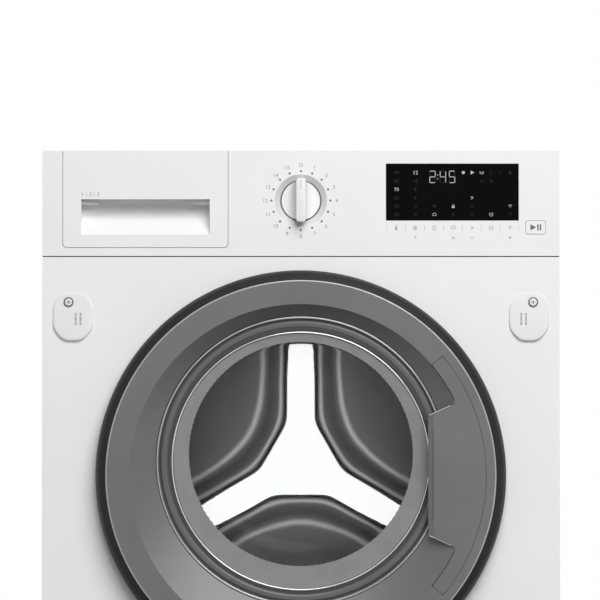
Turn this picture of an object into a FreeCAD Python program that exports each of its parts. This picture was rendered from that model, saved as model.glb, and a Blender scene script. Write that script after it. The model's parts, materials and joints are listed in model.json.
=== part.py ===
import FreeCAD, Part
import math
import os

import Sketcher
from FreeCAD import Placement, Rotation, Vector

# Integrated front-loading washing machine.
# Frame: X to the right, Y to the back, Z up, origin on the floor under the middle of the machine.

SIZES = [
    # Cabinet
    ("body_width", 595, "width of the cabinet"),
    ("body_height", 820, "floor to top, feet screwed in"),
    ("overall_depth", 550, "door face to rear cover"),
    ("foot_height", 12, "floor to base tray"),
    ("sheet", 1, "steel sheet of the cabinet"),
    ("flange", 12, "return flange of the front panel"),
    ("door_proud", 32, "door face in front of the front panel"),
    ("cover_proud", 15, "rear cover behind the rear panel"),
    ("seam", 1.2, "seam between control panel and front panel"),
    ("plinth_height", 100, "height of the plinth recess"),
    ("plinth_depth", 55, "depth of the plinth recess"),
    ("tray_wall", 1.5, "sheet of the base tray"),
    ("tray_edge", 25, "height of the tray's upturned edges"),
    ("service_radius", 165, "service opening in the rear panel"),
    ("service_lap", 18, "rear cover's flange around the opening"),
    ("cover_face", 145, "radius of the rear cover's flat face"),
    # Axes
    ("drum_lift", 53, "axis of drum, tub and glass above half the height"),
    ("ring_offset", 16.7, "drum axis above the door ring's axis"),
    # Feet
    ("foot_inset", 48, "foot axis from the cabinet's side"),
    ("foot_front", 32, "front foot axis behind the plinth panel"),
    ("foot_rear", 42, "rear foot axis in front of the rear panel"),
    ("foot_radius", 22, "foot pad radius"),
    ("foot_pad", 6, "foot pad thickness"),
    ("foot_hex", 10, "radius of the foot's hexagon"),
    ("foot_hex_height", 3, "height of the foot's hexagon"),
    ("stud_radius", 5, "foot stud radius"),
    ("stud_length", 46, "foot stud length"),
    ("boss_radius", 11, "threaded boss radius"),
    ("boss_height", 16, "threaded boss height above the tray"),
    ("stud_play", 0.15, "radial play of the stud in its boss"),
    # Control panel and its parts
    ("fascia_height", 121.3, "height of the control panel"),
    ("fascia_wall", 3, "wall of the control panel"),
    ("fascia_lip", 14, "depth of the control panel's lower lip"),
    ("window_inset", 46.9, "display window from the cabinet's side"),
    ("window_width", 152.6, "display window width"),
    ("window_height", 65.4, "display window height"),
    ("window_top", 15, "top edge to the display window"),
    ("window_gap", 0.2, "gap around the display window"),
    ("button_inset", 16.1, "start button from the cabinet's side"),
    ("button_width", 22.5, "start button width"),
    ("button_height", 15.1, "start button height"),
    ("button_top", 80.8, "top edge to the start button"),
    ("button_gap", 0.5, "gap around the start button"),
    ("button_proud", 0.6, "start button in front of the control panel"),
    ("button_travel", 1.5, "start button travel"),
    ("button_flange", 1.5, "start button's retaining flange"),
    ("button_slack", 0.3, "free play of the start button before and behind"),
    ("button_stem", 3, "radius of the start button's stem"),
    ("button_corner", 2.3, "start button corner radius"),
    ("knob_drop", 57.5, "top edge to the knob's axis"),
    ("knob_radius", 22.4, "knob disc radius"),
    ("knob_floor", 9, "radius of the knob disc's lowest ring"),
    ("knob_sink", 1, "knob disc's lowest ring behind the control panel's face"),
    ("knob_rim", 2, "knob rim in front of the control panel's face"),
    ("knob_base", 3, "knob's back behind the control panel's face"),
    ("grip_length", 50.6, "length of the knob's grip"),
    ("grip_width", 11.3, "width of the knob's grip"),
    ("grip_proud", 13, "grip in front of the control panel's face"),
    ("grip_round", 4.5, "rounding of the grip's ends"),
    ("pointer_length", 8, "pointer groove length"),
    ("pointer_width", 1.2, "pointer groove width"),
    ("pointer_depth", 0.8, "pointer groove depth"),
    ("knob_shaft", 3, "knob shaft radius"),
    ("shaft_play", 0.1, "radial play of turning shafts"),
    ("dish_radius", 30.5, "dish around the knob, at the face"),
    ("dish_floor", 23.4, "dish around the knob, at its floor"),
    ("dish_depth", 4, "dish depth"),
    ("dish_boss", 36, "boss behind the dish"),
    ("dish_wall", 3, "wall behind the dish"),
    ("board_back", 30, "electronics box's back behind the panel's face"),
    ("board_thick", 10, "electronics box thickness"),
    ("board_left", -34, "electronics box's left edge"),
    ("board_inset", 7.5, "electronics box from the cabinet's side"),
    ("board_margin", 8, "electronics box's margin to the panel's edges"),
    ("module_margin", 3, "display module around the window"),
    ("encoder_radius", 11, "rotary encoder radius"),
    # Detergent drawer
    ("drawer_inset", 23.8, "drawer front from the cabinet's side"),
    ("drawer_width", 189.7, "drawer front width"),
    ("drawer_height", 111.4, "drawer front height"),
    ("drawer_gap", 0.6, "gap around the drawer front"),
    ("drawer_corner", 4.6, "lower corner radius of the drawer front"),
    ("drawer_wall", 2.8, "wall of the drawer front"),
    ("pull_inset", 20.9, "finger recess from the drawer front's sides"),
    ("pull_bottom", 14.6, "finger recess above the drawer front's lower edge"),
    ("pull_height", 40.9, "finger recess height"),
    ("pull_depth", 26, "finger recess depth"),
    ("pull_undercut", 7, "undercut above the recess"),
    ("pull_floor", 30, "height at which the scoop reaches its full depth"),
    ("pull_tab", 19, "width of the tabs in the recess's upper corners"),
    ("pull_tab_drop", 5, "tabs below the recess's upper edge"),
    ("pull_tab_set", 9, "tabs behind the drawer's face"),
    ("pull_round", 22, "rounding of the scoop"),
    ("pull_wall", 2.5, "wall behind the recess"),
    ("tray_length", 195, "drawer tray length"),
    ("tray_side", 6.5, "drawer tray's side from its rim's edge"),
    ("tray_rim", 1.2, "tray rim from the drawer front's sides"),
    ("tray_rim_thick", 2.5, "tray rim thickness"),
    ("tray_thin", 2, "drawer tray wall"),
    ("tray_low", 30, "drawer tray bottom above the drawer front's lower edge"),
    ("tray_deep", 60, "drawer tray depth"),
    ("tray_main", 88, "width of the main wash compartment"),
    ("tray_middle", 38, "width of the prewash compartment"),
    ("housing_wall", 2, "dispenser housing wall"),
    ("housing_play", 1, "room beside the tray's rim"),
    ("housing_length", 238, "dispenser housing length"),
    ("housing_roof", 4, "dispenser housing under the machine's top"),
    ("housing_floor", 4, "room under the tray"),
    ("runner_width", 5.5, "drawer runner width"),
    ("runner_thick", 6, "drawer runner thickness"),
    ("runner_play", 0.3, "room between rim and runner"),
    ("throat_room", 2, "room around the finger recess in the housing"),
    # Furniture hinge covers
    ("cover_inset", 35.2, "hinge cover's middle from the cabinet's side"),
    ("cover_width", 46, "hinge cover width"),
    ("cover_height", 56, "hinge cover height"),
    ("cover_thick", 6, "hinge cover thickness at its lower end"),
    ("cover_thin", 1.2, "hinge cover thickness at its upper end"),
    ("cover_foot", 21, "flat width of the cover's lower edge"),
    ("cover_top", 30, "flat width of the cover's upper edge"),
    ("cover_bevel", 14, "height of the cover's bevelled corners"),
    ("cover_round", 7, "rounding of the cover's corners"),
    ("cover_drop", 219.8, "top to the upper covers' lower edge"),
    ("cover_lower", 168, "floor to the lower covers' lower edge"),
    ("slot_near", 8.6, "cover's middle to the inner slot"),
    ("slot_far", 3, "cover's middle to the outer slot"),
    ("slot_width", 2.3, "slot width"),
    ("slot_height", 15, "slot height"),
    ("slot_low", 19.3, "slots above the cover's lower edge"),
    ("slot_skin", 1.2, "wall left behind the slots"),
    ("screw_out", 4.8, "cover's middle to its screw"),
    ("screw_up", 45.3, "screw above the cover's lower edge"),
    ("screw_head", 4.2, "screw head radius"),
    ("screw_rim", 5.8, "countersink radius"),
    ("screw_radius", 2, "screw shank radius"),
    ("screw_sink", 1.2, "screw head thickness"),
    ("screw_length", 12, "screw length"),
    # Door
    ("ring_radius", 235.1, "door ring outer radius"),
    ("ring_edge", 222.2, "outer edge of the ring's flat face"),
    ("ring_shoulder", 231, "radius of the ring's shoulder"),
    ("ring_shoulder_depth", 6, "shoulder behind the ring's face"),
    ("ring_shoulder_round", 9, "shoulder rounding"),
    ("ring_edge_round", 1.2, "rounding of the face's outer edge"),
    ("ring_wide_front", 14, "front of the ring's widest band before the panel"),
    ("ring_wide_back", 9, "back of the ring's widest band before the panel"),
    ("ring_back_edge", 232, "radius of the ring's rear edge"),
    ("face_inner", 196, "inner edge of the ring's flat face"),
    ("bezel_radius", 165.6, "glass bezel outer radius"),
    ("bezel_gap", 0.4, "gap around bezel and glass"),
    ("bezel_thick", 5, "bezel thickness"),
    ("bezel_step", 2, "depth of the bezel's grooves"),
    ("bezel_ridge", 157, "radius of the bezel's middle ridge"),
    ("bezel_ridge_half", 2.5, "half width of the bezel's ridges"),
    ("bezel_bore", 150, "bezel inner radius"),
    ("trim_thick", 1.4, "outer trim ring in front of the bezel"),
    ("trim_width", 2.2, "outer trim ring width"),
    ("rim_inner", 145.6, "inner trim ring inner radius"),
    ("glass_flange", 5, "glass flange thickness"),
    ("glass_neck", 146, "glass bowl radius at its flange"),
    ("glass_end", 125, "glass bowl radius at its end"),
    ("glass_reach", 80, "glass bowl's straight wall behind the panel"),
    ("glass_dome", 12, "height of the bowl's domed end"),
    ("glass_flat", 108, "radius of the bowl's domed end"),
    ("glass_wall", 5, "glass wall"),
    ("frame_thick", 4, "door back frame thickness"),
    ("frame_edge", 231, "back frame's front edge radius"),
    ("frame_back_edge", 227.5, "back frame's rear edge radius"),
    ("frame_bore", 150.5, "back frame inner radius"),
    ("door_gap", 2, "gap between door and front panel"),
    ("hollow_inner", 214.5, "inner radius of the ring's hollow"),
    ("hollow_outer", 228.5, "outer radius of the ring's hollow"),
    ("hollow_skin", 10, "ring's face wall over its hollow"),
    ("door_screw_circle", 208, "door screws' circle radius"),
    # Door hinge
    ("hinge_offset", 221, "hinge axis left of the middle"),
    ("hinge_proud", 16, "hinge axis before the panel"),
    ("pin_radius", 2.5, "hinge pin radius"),
    ("eye_radius", 4.5, "hinge eye radius"),
    ("ear_low", 36, "ears from the ring's axis"),
    ("ear_thick", 6, "ear thickness"),
    ("ear_gap", 0.4, "gap between leaf and ears"),
    ("stalk_near", 16.5, "ear's stalk from the hinge axis"),
    ("stalk_thick", 6, "stalk thickness"),
    ("bracket_plate", 3, "hinge bracket plate thickness"),
    ("bracket_width", 17, "hinge bracket plate width"),
    ("bracket_half", 50, "half height of the bracket plate"),
    ("leaf_thick", 3, "hinge leaf thickness"),
    ("leaf_length", 42, "hinge leaf length from its axis"),
    ("leaf_half", 30, "half height of the hinge leaf"),
    ("pocket_left", 6.5, "hinge pocket left of the axis"),
    ("pocket_right", 31, "hinge pocket right of the axis"),
    ("pocket_skin", 8, "hinge pocket's face wall"),
    ("pocket_half", 58, "half height of the hinge pocket"),
    # Door handle and latch
    ("handle_sector", 40, "handle's reach above and below its middle, in degrees"),
    ("grip_sector", 25, "grip's reach above and below its middle, in degrees"),
    ("handle_radius", 211.6, "handle's outer arc about the ring's axis"),
    ("handle_width", 66.1, "handle's straight inner edge from its outer arc"),
    ("handle_thick", 6, "handle thickness"),
    ("handle_gap", 0.8, "gap around the handle"),
    ("handle_bevel", 6.3, "width of the handle's bevelled inner edge"),
    ("handle_bevel_depth", 2.5, "depth of that bevel"),
    ("handle_corner", 4, "handle's outer corner radius"),
    ("handle_pivot_inset", 8.6, "handle's pivot from its outer arc"),
    ("handle_pivot_depth", 3.2, "handle's pivot behind the face"),
    ("handle_stub", 2, "handle's pivot radius"),
    ("handle_stub_half", 66, "half length of the handle's pivot"),
    ("seat_depth", 9, "handle's seat behind the face"),
    ("finger_inset", 21.6, "finger recess from the handle's outer arc"),
    ("latch_offset", 200, "latch pivot from the middle"),
    ("latch_proud", 11, "latch pivot before the panel"),
    ("latch_half", 3, "half width of the latch arm"),
    ("latch_front", 15, "latch's front end before the panel"),
    ("latch_reach", 20, "latch's rear end behind the panel"),
    ("latch_nose", 7, "nose of the latch"),
    ("latch_nose_thick", 6, "nose thickness"),
    ("latch_tall", 9, "half height of the latch"),
    ("latch_stub", 2.2, "latch pivot radius"),
    ("latch_stub_half", 19, "half length of the latch pivot"),
    ("latch_room_left", 10.8, "room left of the latch pivot"),
    ("latch_room_right", 11, "room right of the latch pivot"),
    ("latch_room_front", 8, "room before the latch pivot"),
    ("latch_room_half", 15, "half height of the latch's room"),
    ("lock_depth", 36, "door lock depth"),
    ("lock_half", 45, "half height of the door lock"),
    ("lock_wall", 5, "door lock wall"),
    # Gasket
    ("porthole_radius", 172, "opening in the front panel"),
    ("gasket_wall", 3.5, "gasket wall"),
    ("gasket_lip", 144.6, "radius of the gasket's sealing lip"),
    ("gasket_bead", 5, "gasket's bead beside the panel's edge"),
    ("gasket_fold", 17, "depth of the gasket's fold"),
    ("gasket_gap", 0.1, "gasket's play on the panel's edge"),
    ("gasket_front", 1.3, "gasket's bead in front of the panel"),
    ("gasket_pitch", 8, "length of the gasket's fold"),
    # Tub
    ("tub_front_gap", 47, "front panel's face to the tub's front wall"),
    ("tub_side_room", 47.5, "least room beside the tub"),
    ("tub_top_room", 108, "least room above the tub"),
    ("tub_wall", 4, "tub wall"),
    ("tub_mouth", 163, "tub mouth radius"),
    ("tub_collar", 10, "tub collar length"),
    ("tub_split", 10, "joint plane of the tub's halves"),
    ("tub_flange", 9, "tub flange width"),
    ("tub_flange_thick", 6, "tub flange thickness"),
    ("tub_rear_room", 105, "rear panel to the inside of the tub's rear wall"),
    ("tub_back_wall", 5, "tub's rear wall thickness"),
    ("hub_radius", 48, "bearing hub radius"),
    ("hub_sink", 5, "bearing hub in front of the tub's rear wall"),
    ("hub_reach", 49, "bearing hub behind the inside of the tub's rear wall"),
    ("rib_height", 16, "ribs behind the tub"),
    ("rib_thick", 5, "rib thickness"),
    ("well_half", 58, "half width of the heater well"),
    ("well_drop", 33, "heater well below the tub's inside"),
    ("well_front", 22, "heater well behind the tub's front wall"),
    ("well_length", 130, "heater well length"),
    ("spigot_radius", 16, "hose spigot radius"),
    ("spigot_bore", 12, "hose spigot bore radius"),
    ("sump_x", -10, "sump spigot from the middle"),
    ("sump_length", 24, "sump spigot length"),
    ("weight_inner", 184, "front counterweight inner radius"),
    ("weight_inset", 17, "front counterweight from the tub's outside"),
    ("weight_thick", 32, "front counterweight thickness"),
    ("block_left", -20, "top counterweight's left side"),
    ("block_side_room", 27, "room between top counterweight and spring"),
    ("block_front", 40, "top counterweight's front"),
    ("block_length", 100, "top counterweight length"),
    ("block_room", 45, "room above the top counterweight"),
    ("block_drop", 59, "top counterweight's lowest edge below the tub's top"),
    ("bearing_outer", 31, "bearing outer radius"),
    ("bearing_width", 16, "bearing width"),
    ("shaft_radius", 15, "drum shaft radius"),
    ("heater_tube", 4, "heater tube radius"),
    ("heater_half", 18, "half distance of the heater's legs"),
    ("heater_length", 98, "heater length in the well"),
    ("heater_drop", 13, "heater above the well's floor"),
    ("heater_plate_half", 30, "half width of the heater's plate"),
    ("heater_plate_height", 20, "height of the heater's plate"),
    ("heater_plate", 3, "heater plate thickness"),
    # Suspension
    ("spring_inset", 106.5, "springs from the side panels"),
    ("spring_y", 60, "springs behind the middle"),
    ("spring_radius", 13, "spring coil outer radius"),
    ("spring_bore", 9, "spring coil inner radius"),
    ("spring_lug_drop", 59, "spring lugs below the tub's top"),
    ("hanger_drop", 36, "spring hangers below the machine's top"),
    ("hanger_half", 20, "half size of a spring hanger"),
    ("hanger_wall", 3, "spring hanger wall"),
    ("hanger_web", 44, "height of a hanger's web on the side panel"),
    ("lug_half", 14, "half size of the tub's lugs"),
    ("damper_inset", 116.5, "dampers from the side panels"),
    ("damper_y", -60, "dampers in front of the middle"),
    ("damper_lug_rise", 59, "damper lugs above the tub's bottom"),
    ("rod_radius", 7, "damper rod radius"),
    ("rod_length", 165, "damper rod length"),
    ("damper_radius", 14, "damper tube radius"),
    ("damper_length", 150, "damper tube length"),
    ("damper_play", 0.3, "radial play of rod and tube"),
    # Drum
    ("drum_room", 10, "room around the drum in the tub"),
    ("drum_front", 18, "drum's front behind the tub's front wall"),
    ("drum_back_room", 23, "drum's end in front of the tub's rear wall"),
    ("drum_sheet", 1.2, "drum sheet"),
    ("drum_mouth", 158, "drum mouth radius"),
    ("drum_neck", 9, "length of the drum's rolled neck"),
    ("drum_shoulder", 8, "drum's front shoulder"),
    ("emboss_height", 7, "height of each step of the drum back's pressing"),
    ("emboss_outer", 50, "half width of the outer step's legs"),
    ("emboss_outer_round", 70, "rounding between the outer step's legs"),
    ("emboss_inner", 25, "half width of the inner step's legs"),
    ("emboss_inner_round", 60, "rounding between the inner step's legs"),
    ("emboss_margin", 23, "drum back's pressing from the drum's wall"),
    ("lifter_base", 42, "half width of a lifter at the drum"),
    ("lifter_top", 12, "half width of a lifter's crest"),
    ("lifter_height", 48, "lifter height"),
    ("lifter_margin", 22, "lifters from the drum's ends"),
    ("spider_arm", 17, "half width of a spider arm"),
    ("spider_thick", 11, "spider arm thickness"),
    ("spider_hub", 44, "spider hub radius"),
    ("spider_hub_thick", 15, "spider hub thickness"),
    # Drive
    ("pulley_radius", 140, "drum pulley radius"),
    ("pulley_width", 16, "pulley width"),
    ("pulley_gap", 2, "pulley behind the bearing hub"),
    ("pulley_rim", 8, "drum pulley rim"),
    ("pulley_web", 4, "drum pulley web"),
    ("pulley_hub", 30, "drum pulley hub radius"),
    ("pulley_hole", 24, "radius of the pulley's openings"),
    ("pulley_hole_circle", 82, "circle of the pulley's openings"),
    ("motor_x", -70, "motor axis from the middle"),
    ("motor_height", 118, "floor to the motor's axis"),
    ("motor_radius", 62, "motor radius"),
    ("motor_lead", 125, "motor's front before the tub's rear wall"),
    ("motor_length", 150, "motor length"),
    ("motor_arm", 20, "half width of the motor's arms"),
    ("motor_arm_thick", 18, "thickness of the motor's arms"),
    ("motor_arm_inset", 26, "arms from the motor's ends"),
    ("motor_arm_rise", 20, "arms above the tub's lowest line"),
    ("rotor_shaft", 6, "motor shaft radius"),
    ("rotor_sink", 40, "motor shaft's length inside the motor"),
    ("rotor_pulley", 11, "motor pulley radius"),
    ("belt_gap", 0.3, "belt from the pulleys"),
    ("belt_thick", 3, "belt thickness"),
    ("belt_width", 10, "belt width"),
    # Water
    ("valve_x", -130, "inlet valve from the middle"),
    ("valve_drop", 52, "inlet valve axis below the top"),
    ("valve_half", 24, "half width of the inlet valve"),
    ("valve_depth", 62, "inlet valve depth"),
    ("thread_radius", 13.2, "inlet thread radius"),
    ("thread_bore", 8, "inlet bore radius"),
    ("hole_play", 1.2, "play of pieces in the rear panel's holes"),
    ("hose_radius", 9, "water hose radius"),
    ("hose_end", 40, "straight end of a hose"),
    ("fill_x", -130, "fill hose from the middle"),
    ("fill_y", -70, "fill hose in front of the middle"),
    ("fill_spigot", 14, "fill spigot radius"),
    ("fill_bore", 11, "fill spigot bore"),
    ("fill_spigot_length", 12, "fill spigot length under the housing"),
    ("fill_tub_drop", 17, "tub's fill spigot below the tub's top"),
    ("pump_room", 4, "room between pump and damper"),
    ("pump_height", 58, "floor to the pump's axis"),
    ("pump_front", 22, "filter barrel's front behind the plinth panel"),
    ("pump_radius", 31, "filter barrel radius"),
    ("pump_bore", 26, "filter barrel bore"),
    ("pump_barrel", 80, "filter barrel length"),
    ("pump_motor_radius", 34, "pump motor radius"),
    ("pump_motor", 62, "pump motor length"),
    ("pump_stand", 24, "half width of the pump's stand"),
    ("pump_inlet", 40, "pump inlet behind the barrel's front"),
    ("pump_inlet_reach", 18, "pump inlet length"),
    ("filter_play", 0.5, "radial play of the filter in its barrel"),
    ("filter_cap", 27, "filter cap radius"),
    ("filter_cap_thick", 6, "filter cap thickness"),
    ("filter_grip", 9, "filter grip height"),
    ("filter_grip_half", 4, "half width of the filter's grip"),
    ("filter_length", 60, "filter insert length"),
    ("filter_wall", 2.5, "filter insert wall"),
    ("flap_width", 110, "filter flap width"),
    ("flap_height", 64, "filter flap height"),
    ("flap_low", 26, "floor to the flap's lower edge"),
    ("flap_thick", 3, "filter flap thickness"),
    ("flap_gap", 0.8, "gap around the filter flap"),
    ("flap_pin", 1.5, "flap pivot radius"),
    ("flap_pin_reach", 5, "flap pivot beyond the flap's sides"),
    ("flap_eye", 4, "half size of the flap's pivot blocks"),
    ("outlet_drop", 130, "drain outlet below the machine's top"),
    ("outlet_radius", 10.5, "drain outlet radius"),
    ("outlet_bore", 8, "drain outlet bore"),
    ("outlet_collar", 15, "drain outlet collar radius"),
    ("outlet_collar_thick", 3, "drain outlet collar thickness"),
    ("gland_inset", 57.5, "cord gland from the cabinet's side"),
    ("gland_height", 180, "floor to the cord gland"),
    ("gland_radius", 11, "cord gland radius"),
    ("gland_bore", 4, "cord gland bore radius"),
]

doc = FreeCAD.newDocument("WashingMachine")
sheet = doc.addObject("Spreadsheet::Sheet", "Sizes")
for row, (alias, number, meaning) in enumerate(SIZES, 1):
    sheet.set(f"A{row}", meaning)
    sheet.set(f"B{row}", str(number))
    sheet.setAlias(f"B{row}", alias)
sheet.recompute()


class Size:
    """A length: its number, and the sheet expression that objects are bound to."""

    def __init__(self, number, text):
        self.number = float(number)
        self.text = text

    def __neg__(self):
        return Size(-self.number, f"(-{self.text})")

    def __add__(self, other):
        other = as_size(other)
        return Size(self.number + other.number, f"({self.text} + {other.text})")

    def __sub__(self, other):
        other = as_size(other)
        return Size(self.number - other.number, f"({self.text} - {other.text})")

    def __rsub__(self, other):
        return as_size(other) - self

    def __mul__(self, other):
        other = as_size(other)
        return Size(self.number * other.number, f"({self.text} * {other.text})")

    def __truediv__(self, other):
        other = as_size(other)
        return Size(self.number / other.number, f"({self.text} / {other.text})")

    __radd__ = __add__
    __rmul__ = __mul__


def as_size(value):
    if isinstance(value, Size):
        return value
    return Size(value, repr(float(value)))


def root(value):
    return Size(math.sqrt(value.number), f"sqrt({value.text})")


def smaller(one, other):
    return Size(min(one.number, other.number), f"min({one.text}; {other.text})")


class Sheet:
    """Gives each alias of the spreadsheet as a Size."""

    def __getattr__(self, alias):
        return Size(sheet.get(alias), f"Sizes.{alias}")


s = Sheet()

# Named places that several pieces share
half = s.body_width / 2
inner_x = half - s.sheet
panel_y = s.door_proud - s.overall_depth / 2
face_y = panel_y - s.door_proud
side_y = panel_y + s.fascia_wall
rear_y = s.overall_depth / 2 - s.cover_proud
plinth_y = panel_y + s.plinth_depth
top_z = s.body_height
base_z = s.foot_height
floor_z = base_z + s.tray_wall
fascia_z = top_z - s.fascia_height
drum_z = top_z / 2 + s.drum_lift
ring_z = drum_z - s.ring_offset
cover_offset = half - s.cover_inset
cover_upper = top_z - s.cover_drop
gland_x = half - s.gland_inset
outlet_height = top_z - s.outlet_drop
handle_inner = s.handle_radius - s.handle_width
handle_pivot = s.handle_radius - s.handle_pivot_inset
finger_edge = s.handle_radius - s.finger_inset
# The tub is as large as the cabinet's width and height allow, and what it carries follows its wall
tub_y = panel_y + s.tub_front_gap
tub_outer = smaller(inner_x - s.tub_side_room, top_z - drum_z - s.tub_top_room)
tub_inner = tub_outer - s.tub_wall
tub_back = rear_y - s.tub_rear_room
hub_front = tub_back - s.hub_sink
hub_back = tub_back + s.hub_reach
weight_outer = tub_outer - s.weight_inset
spring_x = inner_x - s.spring_inset
spring_lug = tub_outer - s.spring_lug_drop
spring_top = top_z - s.hanger_drop
block_x = (s.block_left, spring_x - s.spring_radius - s.block_side_room)
block_z = (drum_z + tub_outer - s.block_drop, top_z - s.block_room)
damper_x = inner_x - s.damper_inset
damper_lug = tub_outer - s.damper_lug_rise
pump_x = damper_x - s.damper_radius - s.pump_room - s.pump_motor_radius
drum_radius = tub_inner - s.drum_room
drum_y = tub_y + s.drum_front
drum_end = tub_back - s.drum_back_room
emboss_reach = drum_radius - s.emboss_margin
motor_z = s.motor_height
motor_front = tub_back - s.motor_lead
pulley_y = hub_back + s.pulley_gap
SIDES = {"left": -1, "right": 1}

nodes = {}


def node(label, solid):
    solid.Label = label
    nodes[label] = solid
    return solid


def place(solid, x=0, y=0, z=0):
    for axis, value in zip("xyz", (x, y, z)):
        solid.setExpression(f"Placement.Base.{axis}", as_size(value).text)


def box(name, xs, ys, zs):
    """A box between two values along each axis."""
    solid = doc.addObject("Part::Box", name)
    for edge, (low, high) in zip(("Length", "Width", "Height"), (xs, ys, zs)):
        solid.setExpression(edge, (as_size(high) - low).text)
    place(solid, xs[0], ys[0], zs[0])
    return solid


TURNS = {
    "x": Rotation(Vector(0, 1, 0), 90),
    "y": Rotation(Vector(1, 0, 0), 90),
    "z": Rotation(),
}


def cylinder(name, axis, centre, limits, radius, start=0, sweep=360):
    """A cylinder along an axis between two values; a sector counts from +X towards +Z on the Y axis."""
    solid = doc.addObject("Part::Cylinder", name)
    solid.Angle = sweep
    solid.Placement = Placement(Vector(), TURNS[axis] * Rotation(Vector(0, 0, 1), start))
    low, high = limits
    solid.setExpression("Radius", as_size(radius).text)
    solid.setExpression("Height", (as_size(high) - low).text)
    if axis == "x":
        place(solid, low, *centre)
    elif axis == "y":
        place(solid, centre[0], high, centre[1])
    else:
        place(solid, *centre, low)
    return solid


def fused(name, *solids):
    joined = doc.addObject("Part::MultiFuse", name)
    joined.Shapes = list(solids)
    joined.Refine = True
    return joined


def cut(name, base, *tools):
    result = doc.addObject("Part::Cut", name)
    result.Base = base
    result.Tool = tools[0] if len(tools) == 1 else fused(name + "_tools", *tools)
    return result


def common(name, *solids):
    result = doc.addObject("Part::MultiCommon", name)
    result.Shapes = list(solids)
    return result


def group(name, solids):
    result = doc.addObject("Part::Compound", name)
    result.Links = list(solids)
    return result


def sketch_on(body, role, outline):
    """A closed outline of straight lines whose corners are bound to their sizes."""
    plane = next(f for f in body.Origin.OriginFeatures if f.Role == role)
    sketch = body.newObject("Sketcher::SketchObject", body.Name + "_sketch")
    sketch.AttachmentSupport = [(plane, "")]
    sketch.MapMode = "FlatFace"
    corners = [(as_size(u), as_size(v)) for u, v in outline]
    count = len(corners)
    for i, (u, v) in enumerate(corners):
        end_u, end_v = corners[(i + 1) % count]
        start = Vector(u.number, v.number, 0)
        sketch.addGeometry(Part.LineSegment(start, Vector(end_u.number, end_v.number, 0)), False)
    for i in range(count):
        sketch.addConstraint(Sketcher.Constraint("Coincident", i, 2, (i + 1) % count, 1))
    for i, corner in enumerate(corners):
        for kind, value in zip(("DistanceX", "DistanceY"), corner):
            index = sketch.addConstraint(Sketcher.Constraint(kind, -1, 1, i, 1, value.number))
            sketch.setExpression(f"Constraints[{index}]", value.text)
    return sketch


def turned(name, outline, height, x=0):
    """A body turned about a Y axis from an outline of (radius, y)."""
    body = doc.addObject("PartDesign::Body", name)
    sketch = sketch_on(body, "XY_Plane", outline)
    turn = body.newObject("PartDesign::Revolution", name + "_turn")
    turn.Profile = sketch
    turn.ReferenceAxis = (sketch, ["V_Axis"])
    turn.Angle = 360
    place(body, x=x, z=height)
    return body


def padded(name, role, outline, limits):
    """A body padded along X, Y or Z from an outline in the plane across it."""
    body = doc.addObject("PartDesign::Body", name)
    sketch = sketch_on(body, role, outline)
    pad = body.newObject("PartDesign::Pad", name + "_pad")
    pad.Profile = sketch
    low, high = limits
    pad.setExpression("Length", (as_size(high) - low).text)
    pad.Reversed = role == "XZ_Plane"
    place(body, **{{"YZ_Plane": "x", "XZ_Plane": "y", "XY_Plane": "z"}[role]: low})
    return body


def rectangle(us, vs):
    return [(us[0], vs[0]), (us[1], vs[0]), (us[1], vs[1]), (us[0], vs[1])]


def rounded(body, radius, test):
    """Rounds the edges of a body that pass a test, in the body's own frame."""
    doc.recompute()
    base = body.Tip
    fillet = body.newObject("PartDesign::Fillet", body.Name + "_fillet")
    fillet.Base = (base, [f"Edge{i}" for i, edge in enumerate(base.Shape.Edges, 1) if test(edge)])
    fillet.setExpression("Radius", as_size(radius).text)
    body.Tip = fillet
    return body


def along(axis, **where):
    """Test for straight edges along an axis, optionally only those whose middle has given coordinates."""
    def test(edge):
        if not isinstance(edge.Curve, Part.Line):
            return False
        direction = edge.tangentAt(edge.FirstParameter)
        if abs(abs(getattr(direction, axis)) - 1) > 1e-6:
            return False
        middle = edge.CenterOfMass
        return all(abs(getattr(middle, name) - as_size(value).number) < 1e-4 for name, value in where.items())
    return test


def circle_at(radius, y):
    """Test for the circular edge with a radius at a place along Y."""
    def test(edge):
        if not isinstance(edge.Curve, Part.Circle):
            return False
        return abs(edge.Curve.Radius - radius.number) < 1e-4 and abs(edge.Curve.Center.y - y.number) < 1e-4
    return test


def blended(name, solid, radius, test):
    """Rounds the edges of a solid that pass a test."""
    doc.recompute()
    result = doc.addObject("Part::Fillet", name)
    result.Base = solid
    size = radius.number
    result.Edges = [(i, size, size) for i, edge in enumerate(solid.Shape.Edges, 1) if test(edge)]
    return result


def upright_at(radius, height):
    """Test for straight edges along Y at a distance from an axis of a given height."""
    is_upright = along("y")

    def test(edge):
        middle = edge.CenterOfMass
        distance = math.hypot(middle.x, middle.z - height.number)
        return is_upright(edge) and abs(distance - radius) < 1e-3
    return test


def span(start, length):
    return (start, start + length)


def widened(limits, gap):
    return (limits[0] - gap, limits[1] + gap)


def mirrored(side, low, high):
    """A span on the right of the middle, or its mirror image on the left."""
    return (low, high) if side > 0 else (-as_size(high), -as_size(low))


BEND_SHARE = 0.45


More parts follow.
